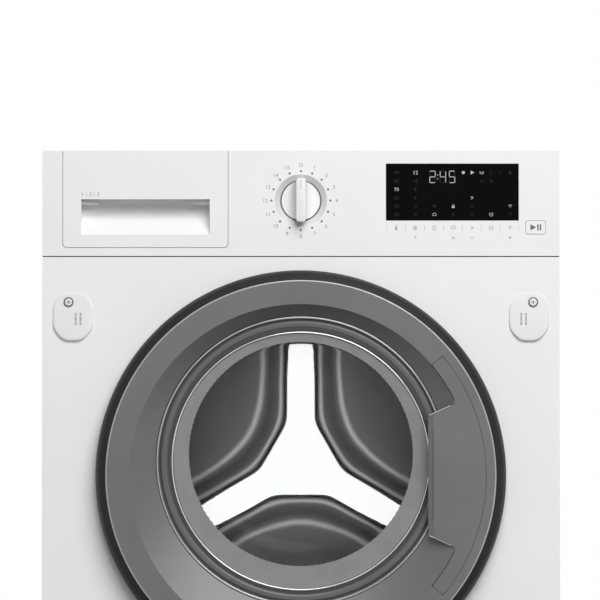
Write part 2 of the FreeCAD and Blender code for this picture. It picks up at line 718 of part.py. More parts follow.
def tube(name, route, radius):
    """A hose along straight runs joined by tangent arcs, each taking a share of the shorter run."""
    points = [Vector(*(as_size(value).number for value in point)) for point in route]
    edges = []
    bends = []
    start = points[0]
    for before, corner, after in zip(points, points[1:], points[2:]):
        back = (before - corner).normalize()
        ahead = (after - corner).normalize()
        trim = BEND_SHARE * min((before - corner).Length, (after - corner).Length)
        half_turn = (math.pi - back.getAngle(ahead)) / 2
        bend = trim / math.tan(half_turn)
        bends.append(bend)
        inward = (back + ahead).normalize()
        middle = corner + inward * (bend / math.cos(half_turn) - bend)
        arc_start = corner + back * trim
        arc_end = corner + ahead * trim
        edges.append(Part.LineSegment(start, arc_start).toShape())
        edges.append(Part.Arc(arc_start, middle, arc_end).toShape())
        start = arc_end
    edges.append(Part.LineSegment(start, points[-1]).toShape())
    path = Part.Wire(edges)
    section = Part.Wire(Part.Circle(points[0], points[1] - points[0], radius.number).toShape())
    hose = doc.addObject("Part::Feature", name)
    hose.Shape = path.makePipeShell([section], True, False)
    share = hose.Shape.Volume / (math.pi * radius.number ** 2 * path.Length)
    print(f"{name}: least bend radius {min(bends):.0f} mm, volume {share:.4f} of section times length")
    return hose


# Cabinet
def spring_hanger(name, side):
    """Bracket welded to a side panel, from which a spring hangs."""
    ys = (s.spring_y - s.hanger_half, s.spring_y + s.hanger_half)
    reach = mirrored(side, spring_x - s.hanger_half, inner_x)
    web = mirrored(side, inner_x - s.hanger_wall, inner_x)
    shelf = box(name + "_shelf", reach, ys, (spring_top, spring_top + s.hanger_wall))
    return [shelf, box(name + "_web", web, ys, (spring_top - s.hanger_web, spring_top))]


def side_panel(name, side):
    outline = [
        (side_y, s.plinth_height),
        (plinth_y, s.plinth_height),
        (plinth_y, base_z),
        (rear_y - s.sheet, base_z),
        (rear_y - s.sheet, top_z - s.sheet),
        (side_y, top_z - s.sheet),
    ]
    skin = padded(name + "_skin", "YZ_Plane", outline, mirrored(side, inner_x, half))
    return fused(name + "_welded", skin, *spring_hanger(name + "_hanger", side))


for side_name, side in SIDES.items():
    node(f"side_panel_{side_name}", side_panel(f"side_{side_name}", side))

node("top_panel", box("top_sheet", (-half, half), (side_y, rear_y), (top_z - s.sheet, top_z)))

FOOT_PLACES = {
    f"{end}_{side_name}": (side * (half - s.foot_inset), y)
    for end, y in (("front", plinth_y + s.foot_front), ("rear", rear_y - s.foot_rear))
    for side_name, side in SIDES.items()
}


def base_tray():
    ys = (plinth_y + s.sheet, rear_y - s.sheet)
    pieces = [box("tray_floor", (-inner_x, inner_x), ys, (base_z, floor_z))]
    for side_name, side in SIDES.items():
        xs = mirrored(side, inner_x - s.tray_wall, inner_x)
        pieces.append(box(f"tray_edge_{side_name}", xs, ys, (floor_z, floor_z + s.tray_edge)))
    bores = []
    for name, centre in FOOT_PLACES.items():
        boss_z = span(floor_z, s.boss_height)
        pieces.append(cylinder(f"boss_{name}", "z", centre, boss_z, s.boss_radius))
        through = (base_z, boss_z[1])
        bores.append(cylinder(f"bore_{name}", "z", centre, through, s.stud_radius + s.stud_play))
    return cut("tray_drilled", fused("tray_solid", *pieces), *bores)


def foot(name, centre):
    """Levelling foot: pad, hexagon and stud."""
    pad = cylinder(f"pad_{name}", "z", centre, (0, s.foot_pad), s.foot_radius)
    nut = doc.addObject("Part::Prism", f"hexagon_{name}")
    nut.Polygon = 6
    nut.setExpression("Circumradius", s.foot_hex.text)
    nut.setExpression("Height", s.foot_hex_height.text)
    place(nut, *centre, s.foot_pad)
    stud = cylinder(f"stud_{name}", "z", centre, (s.foot_pad, s.foot_pad + s.stud_length), s.stud_radius)
    return fused(f"foot_solid_{name}", pad, nut, stud)


node("base_tray", base_tray())
for name, centre in FOOT_PLACES.items():
    node(f"foot_{name}", foot(name, centre))

COVER_PLACES = {
    f"{level}_{side_name}": (side, z)
    for level, z in (("upper", cover_upper), ("lower", s.cover_lower))
    for side_name, side in SIDES.items()
}


def screw_axis(side, z):
    return (side * (cover_offset + s.screw_out), z + s.screw_up)


def front_panel():
    zs = (s.plinth_height, fascia_z - s.seam)
    back = (panel_y + s.sheet, panel_y + s.flange)
    pieces = [box("front_sheet", (-half, half), (panel_y, panel_y + s.sheet), zs)]
    for side_name, side in SIDES.items():
        xs = mirrored(side, inner_x - s.sheet, inner_x)
        pieces.append(box(f"front_edge_{side_name}", xs, back, zs))
    pieces.append(box("front_edge_top", (-inner_x, inner_x), back, (zs[1] - s.sheet, zs[1])))
    pieces.append(box("front_edge_foot", (-inner_x, inner_x), back, (zs[0], zs[0] + s.sheet)))
    through = (panel_y - s.sheet, panel_y + 2 * s.sheet)
    holes = [
        cylinder("porthole", "y", (0, drum_z), through, s.porthole_radius),
        box("latch_slot", latch_room_x, through, latch_room_z),
    ]
    for name, (side, z) in COVER_PLACES.items():
        holes.append(cylinder(f"cover_hole_{name}", "y", screw_axis(side, z), through, s.screw_radius))
    return cut("front_formed", fused("front_solid", *pieces), *holes)


latch_room_x = (s.latch_offset - s.latch_room_left, s.latch_offset + s.latch_room_right)
latch_room_z = (ring_z - s.latch_room_half, ring_z + s.latch_room_half)
node("front_panel", front_panel())

flap_x = (pump_x - s.flap_width / 2, pump_x + s.flap_width / 2)
flap_z = (s.flap_low, s.flap_low + s.flap_height)
flap_axis = (plinth_y + s.flap_thick / 2, s.flap_low + s.flap_thick / 2)
flap_block_y = span(plinth_y + s.sheet, 2 * s.flap_eye)


def plinth_panel():
    """Recessed lower panel with its shelf, the flap's opening and the flap's pivot blocks."""
    wall = box("plinth_wall", (-inner_x, inner_x), (plinth_y, plinth_y + s.sheet), (base_z, s.plinth_height))
    ys = (panel_y + s.sheet, plinth_y + s.sheet)
    shelf = box("plinth_shelf", (-inner_x, inner_x), ys, (s.plinth_height - s.sheet, s.plinth_height))
    gap = s.flap_gap
    opening = box(
        "flap_opening",
        (flap_x[0] - gap, flap_x[1] + gap),
        (plinth_y, flap_block_y[1]),
        (flap_z[0] - gap, flap_z[1] + gap),
    )
    blocks = []
    for name, x in (("left", flap_x[0] - gap - s.flap_pin_reach), ("right", flap_x[1] + gap)):
        blocks.append(box(
            f"flap_block_{name}",
            (x, x + s.flap_pin_reach),
            flap_block_y,
            (flap_axis[1] - s.flap_eye, flap_axis[1] + s.flap_eye),
        ))
    reach = s.flap_pin_reach + gap
    pivot = cylinder(
        "flap_bore", "x", flap_axis, (flap_x[0] - reach, flap_x[1] + reach), s.flap_pin + s.shaft_play
    )
    return cut("plinth_formed", fused("plinth_solid", wall, shelf, *blocks), opening, pivot)


def filter_flap():
    plate = box("flap_plate", flap_x, (plinth_y, plinth_y + s.flap_thick), flap_z)
    reach = s.flap_pin_reach
    pin = cylinder("flap_pivot", "x", flap_axis, (flap_x[0] - reach, flap_x[1] + reach), s.flap_pin)
    return fused("flap_solid", plate, pin)


node("plinth_panel", plinth_panel())
node("filter_flap", filter_flap())

valve_axis = (s.valve_x, top_z - s.valve_drop)
hose_x = inner_x - 2 * s.hose_radius
outlet_axis = (hose_x, outlet_height)
gland_axis = (gland_x, s.gland_height)


def rear_panel():
    zs = (base_z, top_z - s.sheet)
    through = (rear_y - 2 * s.sheet, rear_y + s.sheet)
    plate = box("rear_sheet", (-half, half), (rear_y - s.sheet, rear_y), zs)
    return cut(
        "rear_formed",
        plate,
        cylinder("service_opening", "y", (0, drum_z), through, s.service_radius),
        cylinder("valve_hole", "y", valve_axis, through, s.thread_radius + s.hole_play),
        cylinder("outlet_hole", "y", outlet_axis, through, s.outlet_radius + s.hole_play),
        cylinder("gland_hole", "y", gland_axis, through, s.gland_radius),
    )


def rear_cover():
    edge = s.service_radius + s.service_lap
    crown = rear_y + s.cover_proud
    return turned("rear_dish", [
        (0, crown - s.sheet),
        (s.cover_face, crown - s.sheet),
        (s.service_radius - s.sheet, rear_y),
        (edge, rear_y),
        (edge, rear_y + s.sheet),
        (s.service_radius, rear_y + s.sheet),
        (s.cover_face + s.sheet, crown),
        (0, crown),
    ], drum_z)


node("rear_panel", rear_panel())
node("rear_cover", rear_cover())


def hinge_cover(name, side, z):
    """Plate over the holes of a furniture hinge: thicker below, with a countersink and two slots."""
    middle = side * cover_offset
    foot_half = s.cover_foot / 2
    side_half = s.cover_width / 2
    top_half = s.cover_top / 2
    outline = [
        (-foot_half, 0),
        (foot_half, 0),
        (side_half, s.cover_bevel),
        (side_half, s.cover_height - s.cover_bevel),
        (top_half, s.cover_height),
        (-top_half, s.cover_height),
        (-side_half, s.cover_height - s.cover_bevel),
        (-side_half, s.cover_bevel),
    ]
    blank = padded(f"cover_blank_{name}", "XZ_Plane", outline, (panel_y - s.cover_thick, panel_y))
    rounded(blank, s.cover_round, along("y"))
    place(blank, middle, panel_y - s.cover_thick, z)
    wedge = padded(f"cover_wedge_{name}", "YZ_Plane", [
        (panel_y, z),
        (panel_y, z + s.cover_height),
        (panel_y - s.cover_thin, z + s.cover_height),
        (panel_y - s.cover_thick, z),
    ], (middle - side_half, middle + side_half))
    axis = screw_axis(side, z)
    through = (panel_y - s.cover_thick, panel_y)
    tools = [
        cylinder(f"cover_bore_{name}", "y", axis, through, s.screw_radius),
        cylinder(f"cover_sink_{name}", "y", axis, (through[0], panel_y - s.screw_sink), s.screw_rim),
    ]
    for offset in (s.slot_near, s.slot_far):
        x = side * (cover_offset - offset)
        zs = (z + s.slot_low, z + s.slot_low + s.slot_height)
        xs = (x - s.slot_width / 2, x + s.slot_width / 2)
        tools.append(box(f"slot_{name}", xs, (through[0], panel_y - s.slot_skin), zs))
    return cut(f"cover_{name}", common(f"cover_wedged_{name}", blank, wedge), *tools)


def cover_screw(name, axis):
    """Pan-head screw through a hinge cover and the front panel."""
    head_y = panel_y - s.screw_sink
    head = cylinder(f"head_{name}", "y", axis, (head_y - s.screw_sink, head_y), s.screw_head)
    shank = cylinder(f"shank_{name}", "y", axis, (head_y, head_y + s.screw_length), s.screw_radius)
    return fused(f"screw_{name}", head, shank)


node("hinge_covers", group("covers", [hinge_cover(n, *p) for n, p in COVER_PLACES.items()]))
node("panel_screws", group("screws", [cover_screw(n, screw_axis(*p)) for n, p in COVER_PLACES.items()]))


# Control panel
window_x = span(half - s.window_inset - s.window_width, s.window_width)
window_z = span(top_z - s.window_top - s.window_height, s.window_height)
button_x = span(half - s.button_inset - s.button_width, s.button_width)
button_z = span(top_z - s.button_top - s.button_height, s.button_height)
button_flange_y = span(side_y + s.button_slack, s.button_flange)
button_stem_y = span(button_flange_y[1], s.button_stem)
button_axis = ((button_x[0] + button_x[1]) / 2, (button_z[0] + button_z[1]) / 2)
knob_axis = (0, top_z - s.knob_drop)
dish_y = panel_y + s.dish_depth
drawer_x = span(s.drawer_inset - half, s.drawer_width)
drawer_z = (top_z - s.drawer_height, top_z)


def rounded_plate(name, xs, ys, zs, corner, lower_only=False):
    plate = padded(name, "XZ_Plane", rectangle(xs, zs), ys)
    where = {"z": zs[0]} if lower_only else {}
    return rounded(plate, corner, along("y", **where))


def control_panel():
    wall = box("fascia_front", (-half, half), (panel_y, side_y), (fascia_z, top_z))
    lip_y = (side_y, panel_y + s.fascia_lip)
    lip = box("fascia_lip_strip", (-inner_x, inner_x), lip_y, (fascia_z, fascia_z + s.fascia_wall))
    boss = cylinder("dish_boss_solid", "y", knob_axis, (side_y, dish_y + s.dish_wall), s.dish_boss)
    through = (panel_y, side_y)
    notch = rounded_plate(
        "drawer_notch", widened(drawer_x, s.drawer_gap), through, (drawer_z[0] - s.drawer_gap, top_z),
        s.drawer_corner + s.drawer_gap, lower_only=True,
    )
    gap = s.window_gap
    window = box("window_hole", widened(window_x, gap), through, widened(window_z, gap))
    gap = s.button_gap
    button = rounded_plate(
        "button_hole", widened(button_x, gap), through, widened(button_z, gap), s.button_corner + gap
    )
    dish = doc.addObject("Part::Cone", "dish")
    dish.Placement = Placement(Vector(), TURNS["y"])
    dish.setExpression("Radius1", s.dish_floor.text)
    dish.setExpression("Radius2", s.dish_radius.text)
    dish.setExpression("Height", s.dish_depth.text)
    place(dish, knob_axis[0], dish_y, knob_axis[1])
    bore = cylinder("knob_hole", "y", knob_axis, (dish_y, dish_y + s.dish_wall), s.knob_shaft + s.window_gap)
    return cut("fascia_formed", fused("fascia_solid", wall, lip, boss), notch, window, button, dish, bore)


def control_board():
    """Electronics box with display module, rotary encoder and start switch."""
    back = panel_y + s.board_back
    front = back - s.board_thick
    zs = (fascia_z + s.board_margin, top_z - s.board_margin)
    case = box("board_case", (s.board_left, half - s.board_inset), (front, back), zs)
    margin = s.module_margin
    module = box("display_module", widened(window_x, margin), (side_y, front), widened(window_z, margin))
    encoder = cylinder("encoder", "y", knob_axis, (dish_y + s.dish_wall, front), s.encoder_radius)
    switch_y = button_stem_y[1] + s.button_travel + s.button_slack
    switch = cylinder("switch", "y", button_axis, (switch_y, front), s.button_stem)
    bore = cylinder("encoder_bore", "y", knob_axis, (dish_y, back), s.knob_shaft + s.shaft_play)
    return cut("board_formed", fused("board_solid", case, module, encoder, switch), bore)


def start_button():
    """Key with a flange behind the panel and a stem to its switch."""
    key_y = (panel_y - s.button_proud, button_flange_y[0])
    key = rounded_plate("button_key", button_x, key_y, button_z, s.button_corner)
    flange_x = widened(button_x, s.button_flange)
    flange_z = widened(button_z, s.button_flange)
    flange = box("button_flange_plate", flange_x, button_flange_y, flange_z)
    stem = cylinder("button_stem_rod", "y", button_axis, button_stem_y, s.button_stem)
    return fused("button_solid", key, flange, stem)


def programme_knob():
    """Disc that falls away towards its grip, the grip with its pointer groove, and the shaft."""
    rim_y = panel_y - s.knob_rim
    back_y = panel_y + s.knob_base
    disc = turned("knob_disc", [
        (0, panel_y + s.knob_sink),
        (s.knob_floor, panel_y + s.knob_sink),
        (s.knob_radius - s.knob_rim, rim_y),
        (s.knob_radius, rim_y + s.knob_rim / 2),
        (s.knob_radius, back_y),
        (0, back_y),
    ], knob_axis[1])
    grip_x = (-s.grip_width / 2, s.grip_width / 2)
    grip_z = span(-s.grip_length / 2, s.grip_length)
    front_y = panel_y - s.grip_proud
    grip = padded("knob_grip", "XZ_Plane", rectangle(grip_x, grip_z), (front_y, panel_y + s.knob_sink))
    rounded(grip, s.grip_round, along("y"))
    rounded(grip, s.knob_rim / 2, lambda edge: abs(edge.CenterOfMass.y) < 1e-4)
    place(grip, 0, front_y, knob_axis[1])
    groove_z = span(knob_axis[1] + s.grip_length / 2 - s.pointer_length, s.pointer_length)
    groove_x = (-s.pointer_width / 2, s.pointer_width / 2)
    groove = box("pointer", groove_x, span(front_y, s.pointer_depth), groove_z)
    shaft_y = (back_y, panel_y + s.board_back)
    shaft = cylinder("knob_shaft_rod", "y", knob_axis, shaft_y, s.knob_shaft)
    return cut("knob_formed", fused("knob_solid", disc, grip, shaft), groove)


node("control_panel", control_panel())
node("display_window", box("window_plate", window_x, (panel_y, side_y), window_z))
node("control_board", control_board())
node("start_button", start_button())
node("programme_knob", programme_knob())

# Detergent drawer
pull_x = widened(drawer_x, -s.pull_inset)
pull_z = span(drawer_z[0] + s.pull_bottom, s.pull_height)
pull_back = panel_y + s.pull_depth
tray_y = span(pull_back + s.pull_wall, s.tray_length)
tray_z = span(drawer_z[0] + s.tray_low, s.tray_deep)
rim_x = widened(drawer_x, -s.tray_rim)
rim_z = (tray_z[1] - s.tray_rim_thick, tray_z[1])


def drawer_front():
    """Front plate with a scooped finger recess, undercut at its top."""
    face_back = panel_y + s.drawer_wall
    plate = rounded_plate(
        "drawer_plate", drawer_x, (panel_y, face_back), drawer_z, s.drawer_corner, lower_only=True
    )
    roof_z = pull_z[1] + s.pull_undercut
    shell = box(
        "pull_shell",
        widened(pull_x, s.pull_wall),
        (face_back, pull_back + s.pull_wall),
        (pull_z[0] - s.pull_wall, roof_z + s.pull_wall),
    )
    floor_corner = (pull_back, pull_z[0] + s.pull_floor)
    scoop = padded("pull_scoop", "YZ_Plane", [
        (panel_y, pull_z[0]),
        floor_corner,
        (pull_back, roof_z),
        (face_back, roof_z),
        (face_back, pull_z[1]),
        (panel_y, pull_z[1]),
    ], pull_x)
    rounded(scoop, s.pull_round, along("x", y=floor_corner[0], z=floor_corner[1]))
    tabs = []
    for name, x in (("left", pull_x[0]), ("right", pull_x[1] - s.pull_tab)):
        ys = (panel_y + s.pull_tab_set, pull_back)
        tabs.append(box(f"pull_tab_{name}", span(x, s.pull_tab), ys, (pull_z[1] - s.pull_tab_drop, roof_z)))
    return fused("drawer_solid", cut("drawer_scooped", fused("drawer_blank", plate, shell), scoop), *tabs)


def drawer_tray():
    """Tray with three compartments and a rim that slides on the runners."""
    body_x = widened(rim_x, -s.tray_side)
    body = box("tray_body", body_x, tray_y, tray_z)
    rim = box("tray_rim_plate", rim_x, tray_y, rim_z)
    inside_y = widened(tray_y, -s.tray_thin)
    inside_z = (tray_z[0] + s.tray_thin, tray_z[1])
    main_x = span(body_x[0] + s.tray_thin, s.tray_main)
    middle_x = span(main_x[1] + s.tray_thin, s.tray_middle)
    last_x = (middle_x[1] + s.tray_thin, body_x[1] - s.tray_thin)
    rooms = [
        box(f"compartment_{i}", xs, inside_y, inside_z) for i, xs in enumerate((main_x, middle_x, last_x))
    ]
    return cut("tray_formed", fused("tray_blank", body, rim), *rooms)


housing_x = widened(rim_x, s.housing_play)
housing_y = span(side_y, s.housing_length)
housing_z = (tray_z[0] - s.housing_floor, top_z - s.housing_roof - s.housing_wall)
fill_axis = (s.fill_x, s.fill_y)
fill_z = (drum_z + tub_outer - s.fill_tub_drop, housing_z[0] - s.housing_wall - s.fill_spigot_length)


def dispenser_housing():
    """Box that the drawer slides into, with a deeper throat for the finger recess."""
    wall = s.housing_wall
    throat_z = (pull_z[0] - s.pull_wall - s.throat_room, housing_z[1])
    throat_y = (side_y, pull_back + s.pull_wall + s.throat_room)
    outside_x = widened(housing_x, wall)
    case = box("housing_case", outside_x, housing_y, widened(housing_z, wall))
    throat = box("housing_throat", outside_x, (throat_y[0], throat_y[1] + wall), widened(throat_z, wall))
    spigot = cylinder("housing_spigot", "z", fill_axis, (fill_z[1], housing_z[0]), s.fill_spigot)
    room = box("housing_room", housing_x, (side_y, housing_y[1] - wall), housing_z)
    throat_room = box("throat_room_box", housing_x, throat_y, throat_z)
    bore = cylinder("housing_bore", "z", fill_axis, (fill_z[1], housing_z[0]), s.fill_bore)
    shell = cut("housing_shell", fused("housing_blank", case, throat, spigot), room, throat_room, bore)
    runner_z = (rim_z[0] - s.runner_play - s.runner_thick, rim_z[0] - s.runner_play)
    runner_y = (tray_y[0], housing_y[1] - wall)
    left = box("runner_left", span(housing_x[0], s.runner_width), runner_y, runner_z)
    right = box("runner_right", (housing_x[1] - s.runner_width, housing_x[1]), runner_y, runner_z)
    return fused("housing_solid", shell, left, right)


node("drawer_front", drawer_front())
node("drawer_tray", drawer_tray())
node("dispenser_housing", dispenser_housing())

# Door
frame_back = panel_y - s.door_gap
frame_front = frame_back - s.frame_thick
glass_front = frame_front - s.glass_flange
bezel_front = glass_front - s.bezel_thick
hinge_x = -s.hinge_offset
hinge_y = panel_y - s.hinge_proud
seat_bore = s.bezel_radius + s.bezel_gap
DOOR_SCREW_ANGLES = (45, 90, 135, 225, 270, 315)


def ring_sector(name, reach, radius, ys):
    """Sector of the ring around the handle's middle line."""
    return cylinder(name, "y", (0, ring_z), ys, radius, start=-reach, sweep=2 * reach)


def door_screw_axis(angle):
    turn = math.radians(angle)
    return (s.door_screw_circle * math.cos(turn), ring_z + s.door_screw_circle * math.sin(turn))


def skew_channel():
    """Funnel from the ring's face down to the bezel, whose axis lies higher than the ring's."""
    mouths = []
    for name, radius, y, z in (
        ("outer", s.face_inner, face_y, ring_z),
        ("inner", seat_bore, bezel_front, drum_z),
    ):
        circle = doc.addObject("Part::Circle", f"channel_{name}")
        circle.Placement = Placement(Vector(), TURNS["y"])
        circle.setExpression("Radius", radius.text)
        place(circle, 0, y, z)
        mouths.append(circle)
    funnel = doc.addObject("Part::Loft", "channel")
    funnel.Sections = mouths
    funnel.Solid = True
    funnel.Ruled = True
    return funnel


def handle_seat():
    """Room for the handle, its finger recess and its pivot."""
    gap = s.handle_gap
    clear = math.degrees(gap.number / s.face_inner.number)
    grip_reach = s.grip_sector.number + clear
    outer = s.handle_radius + gap
    strip_y = (face_y, face_y + s.handle_thick + gap)
    strip = cut(
        "seat_strip",
        ring_sector("seat_sector", s.handle_sector.number + clear, outer, strip_y),
        cylinder("seat_core", "y", (0, ring_z), strip_y, s.face_inner - gap),
    )
    grip = ring_sector("seat_grip", grip_reach, outer, span(face_y, s.seat_depth))
    deep_y = (face_y, bezel_front)
    deep = common(
        "finger_recess",
        ring_sector("finger_sector", grip_reach, outer, deep_y),
        box("finger_box", (handle_inner, finger_edge), deep_y, (ring_z - outer, ring_z + outer)),
    )
    pivot = cylinder(
        "handle_bore", "z", (handle_pivot, face_y + s.handle_pivot_depth),
        (ring_z - s.handle_stub_half - gap, ring_z + s.handle_stub_half + gap), s.handle_stub + s.shaft_play,
    )
    return [strip, grip, deep, pivot]


def hinge_pocket():
    leaf_front = hinge_y - s.eye_radius
    return [
        box(
            "hinge_room",
            (hinge_x - s.pocket_left, hinge_x + s.pocket_right),
            (hinge_y - s.pocket_skin, frame_front),
            (ring_z - s.pocket_half, ring_z + s.pocket_half),
        ),
        box(
            "leaf_room",
            (hinge_x, hinge_x + s.leaf_length),
            (leaf_front, frame_front),
            (ring_z - s.leaf_half, ring_z + s.leaf_half),
        ),
    ]


def latch_room():
    latch_y = panel_y - s.latch_proud
    reach = s.latch_stub_half + s.bezel_gap
    return [
        box("latch_room_box", latch_room_x, (latch_y - s.latch_room_front, frame_front), latch_room_z),
        cylinder(
            "latch_bore", "z", (s.latch_offset, latch_y), (ring_z - reach, ring_z + reach),
            s.latch_stub + s.shaft_play,
        ),
    ]


def door_screw_holes(name, ys, radius):
    return [
        cylinder(f"{name}_{angle}", "y", door_screw_axis(angle), ys, radius) for angle in DOOR_SCREW_ANGLES
    ]


def door_ring():
    """Outer ring: flat face, bevelled rim, hollow at the back, and a funnel to the glass."""
    shoulder_y = face_y + s.ring_shoulder_depth
    disc = turned("ring_disc", [
        (0, face_y),
        (s.ring_edge, face_y),
        (s.ring_shoulder, shoulder_y),
        (s.ring_radius, panel_y - s.ring_wide_front),
        (s.ring_radius, panel_y - s.ring_wide_back),
        (s.ring_back_edge, frame_front),
        (0, frame_front),
    ], ring_z)
    rounded(disc, s.ring_shoulder_round, circle_at(s.ring_shoulder, shoulder_y))
    rounded(disc, s.ring_edge_round, circle_at(s.ring_edge, face_y))
    hollow_y = (face_y + s.hollow_skin, frame_front)
    hollow = cut(
        "ring_hollow",
        cylinder("hollow_outside", "y", (0, ring_z), hollow_y, s.hollow_outer),
        cylinder("hollow_inside", "y", (0, ring_z), hollow_y, s.hollow_inner),
    )
    bore = cylinder("ring_bore", "y", (0, drum_z), (bezel_front, frame_front), seat_bore)
    threads = door_screw_holes("thread", (frame_back - s.screw_length, frame_front), s.screw_radius)
    tools = [skew_channel(), bore, hollow, *threads, *handle_seat(), *hinge_pocket(), *latch_room()]
    return cut("ring_formed", disc, *tools)


def door_back_frame():
    plate = turned("frame_plate", [
        (0, frame_front),
        (s.frame_edge, frame_front),
        (s.frame_back_edge, frame_back),
        (0, frame_back),
    ], ring_z)
    ys = (frame_front, frame_back)
    window = box(
        "hinge_window",
        (-s.ring_radius, hinge_x + s.pocket_right),
        ys,
        (ring_z - s.pocket_half, ring_z + s.pocket_half),
    )
    return cut(
        "frame_formed",
        plate,
        cylinder("frame_opening", "y", (0, drum_z), ys, s.frame_bore),
        window,
        box("frame_slot", latch_room_x, ys, latch_room_z),
        *door_screw_holes("frame_hole", ys, s.screw_radius),
        *door_screw_holes("frame_sink", (frame_back - s.screw_sink, frame_back), s.screw_head),
    )


def door_screw(angle):
    axis = door_screw_axis(angle)
    seat_y = frame_back - s.screw_sink
    head = cylinder(f"door_head_{angle}", "y", axis, (seat_y, frame_back), s.screw_head)
    shank = cylinder(f"door_shank_{angle}", "y", axis, (frame_back - s.screw_length, seat_y), s.screw_radius)
    return fused(f"door_screw_{angle}", head, shank)


def glass_bezel():
    """Stepped ring in front of the glass flange."""
    groove_y = bezel_front + s.bezel_step
    edge = s.bezel_radius - s.trim_width
    return turned("bezel", [
        (s.bezel_bore, glass_front),
        (s.bezel_bore, groove_y),
        (s.bezel_ridge - 2 * s.bezel_ridge_half, groove_y),
        (s.bezel_ridge - s.bezel_ridge_half, bezel_front),
        (s.bezel_ridge + s.bezel_ridge_half, bezel_front),
        (edge - s.bezel_ridge_half / 2, groove_y),
        (edge, bezel_front),
        (s.bezel_radius, bezel_front),
        (s.bezel_radius, glass_front),
    ], drum_z)


def glass_trim():
    """Bright outer ring on the bezel and bright inner ring around the glass."""
    outer = turned("trim_outer", rectangle(
        (s.bezel_radius - s.trim_width, s.bezel_radius), (bezel_front - s.trim_thick, bezel_front)
    ), drum_z)
    inner = turned("trim_inner", [
        (s.rim_inner, glass_front),
        (s.rim_inner, bezel_front + s.bezel_step),
        (s.rim_inner + s.trim_width, bezel_front),
        (s.bezel_bore, bezel_front + s.bezel_step / 2),
        (s.bezel_bore, glass_front),
    ], drum_z)
    return group("trim_rings", [outer, inner])


def door_glass():
    """Bowl with a clamped flange, narrowing towards the drum."""
    wall_end = panel_y + s.glass_reach
    crown = wall_end + s.glass_dome
    inner_flat = s.glass_flat - s.glass_wall / 2
    inner_end = s.glass_end - s.glass_wall
    bowl = turned("bowl", [
        (s.bezel_radius, glass_front),
        (s.bezel_radius, frame_front),
        (s.glass_neck, frame_front),
        (s.glass_end, wall_end),
        (s.glass_flat, crown),
        (0, crown),
        (0, crown - s.glass_wall),
        (inner_flat, crown - s.glass_wall),
        (inner_end, wall_end - s.glass_wall / 2),
        (s.glass_neck - s.glass_wall, glass_front),
    ], drum_z)
    rounded(bowl, s.glass_dome, circle_at(s.glass_end, wall_end))
    rounded(bowl, s.glass_dome - s.glass_wall, circle_at(inner_end, wall_end - s.glass_wall / 2))
    return bowl


node("door_ring", door_ring())
node("door_back_frame", door_back_frame())
node("door_screws", group("door_screw_set", [door_screw(angle) for angle in DOOR_SCREW_ANGLES]))
node("glass_bezel", glass_bezel())
node("glass_trim", glass_trim())
node("door_glass", door_glass())


# Door hinge
def hinge_bracket():
    """Plate on the front panel with two swan-necked ears."""
    plate_x = (hinge_x + s.pocket_right - s.bracket_width, hinge_x + s.pocket_right)
    plate_y = (panel_y - s.bracket_plate, panel_y)
    pieces = [box("bracket_back", plate_x, plate_y, (ring_z - s.bracket_half, ring_z + s.bracket_half))]
    holes = []
    arm_half = s.stalk_thick / 2
    stalk_x = span(hinge_x + s.stalk_near, s.stalk_thick)
    for name, z in (("upper", ring_z + s.ear_low), ("lower", ring_z - s.ear_low - s.ear_thick)):
        zs = span(z, s.ear_thick)
        pieces.append(box(f"stalk_{name}", stalk_x, (hinge_y - arm_half, panel_y), zs))
        pieces.append(box(f"arm_{name}", (hinge_x, stalk_x[1]), (hinge_y - arm_half, hinge_y + arm_half), zs))
        pieces.append(cylinder(f"eye_{name}", "z", (hinge_x, hinge_y), zs, s.eye_radius))
        holes.append(cylinder(f"eye_bore_{name}", "z", (hinge_x, hinge_y), zs, s.pin_radius))
    return cut("bracket_formed", fused("bracket_solid", *pieces), *holes)


pin_half = s.ear_low + s.ear_thick
leaf_top = s.ear_low - s.ear_gap


def hinge_leaf():
    barrel_z = (ring_z - leaf_top, ring_z + leaf_top)
    barrel = cylinder("barrel", "z", (hinge_x, hinge_y), barrel_z, s.eye_radius)
    plate = box(
        "leaf_plate",
        (hinge_x, hinge_x + s.leaf_length),
        span(hinge_y - s.eye_radius, s.leaf_thick),
        (ring_z - s.leaf_half, ring_z + s.leaf_half),
    )
    bore = cylinder("barrel_bore", "z", (hinge_x, hinge_y), barrel_z, s.pin_radius + s.shaft_play)
    return cut("leaf_formed", fused("leaf_solid", barrel, plate), bore)


node("hinge_bracket", hinge_bracket())
node("hinge_leaf", hinge_leaf())
pin_z = (ring_z - pin_half, ring_z + pin_half)
node("hinge_pin", cylinder("pin", "z", (hinge_x, hinge_y), pin_z, s.pin_radius))


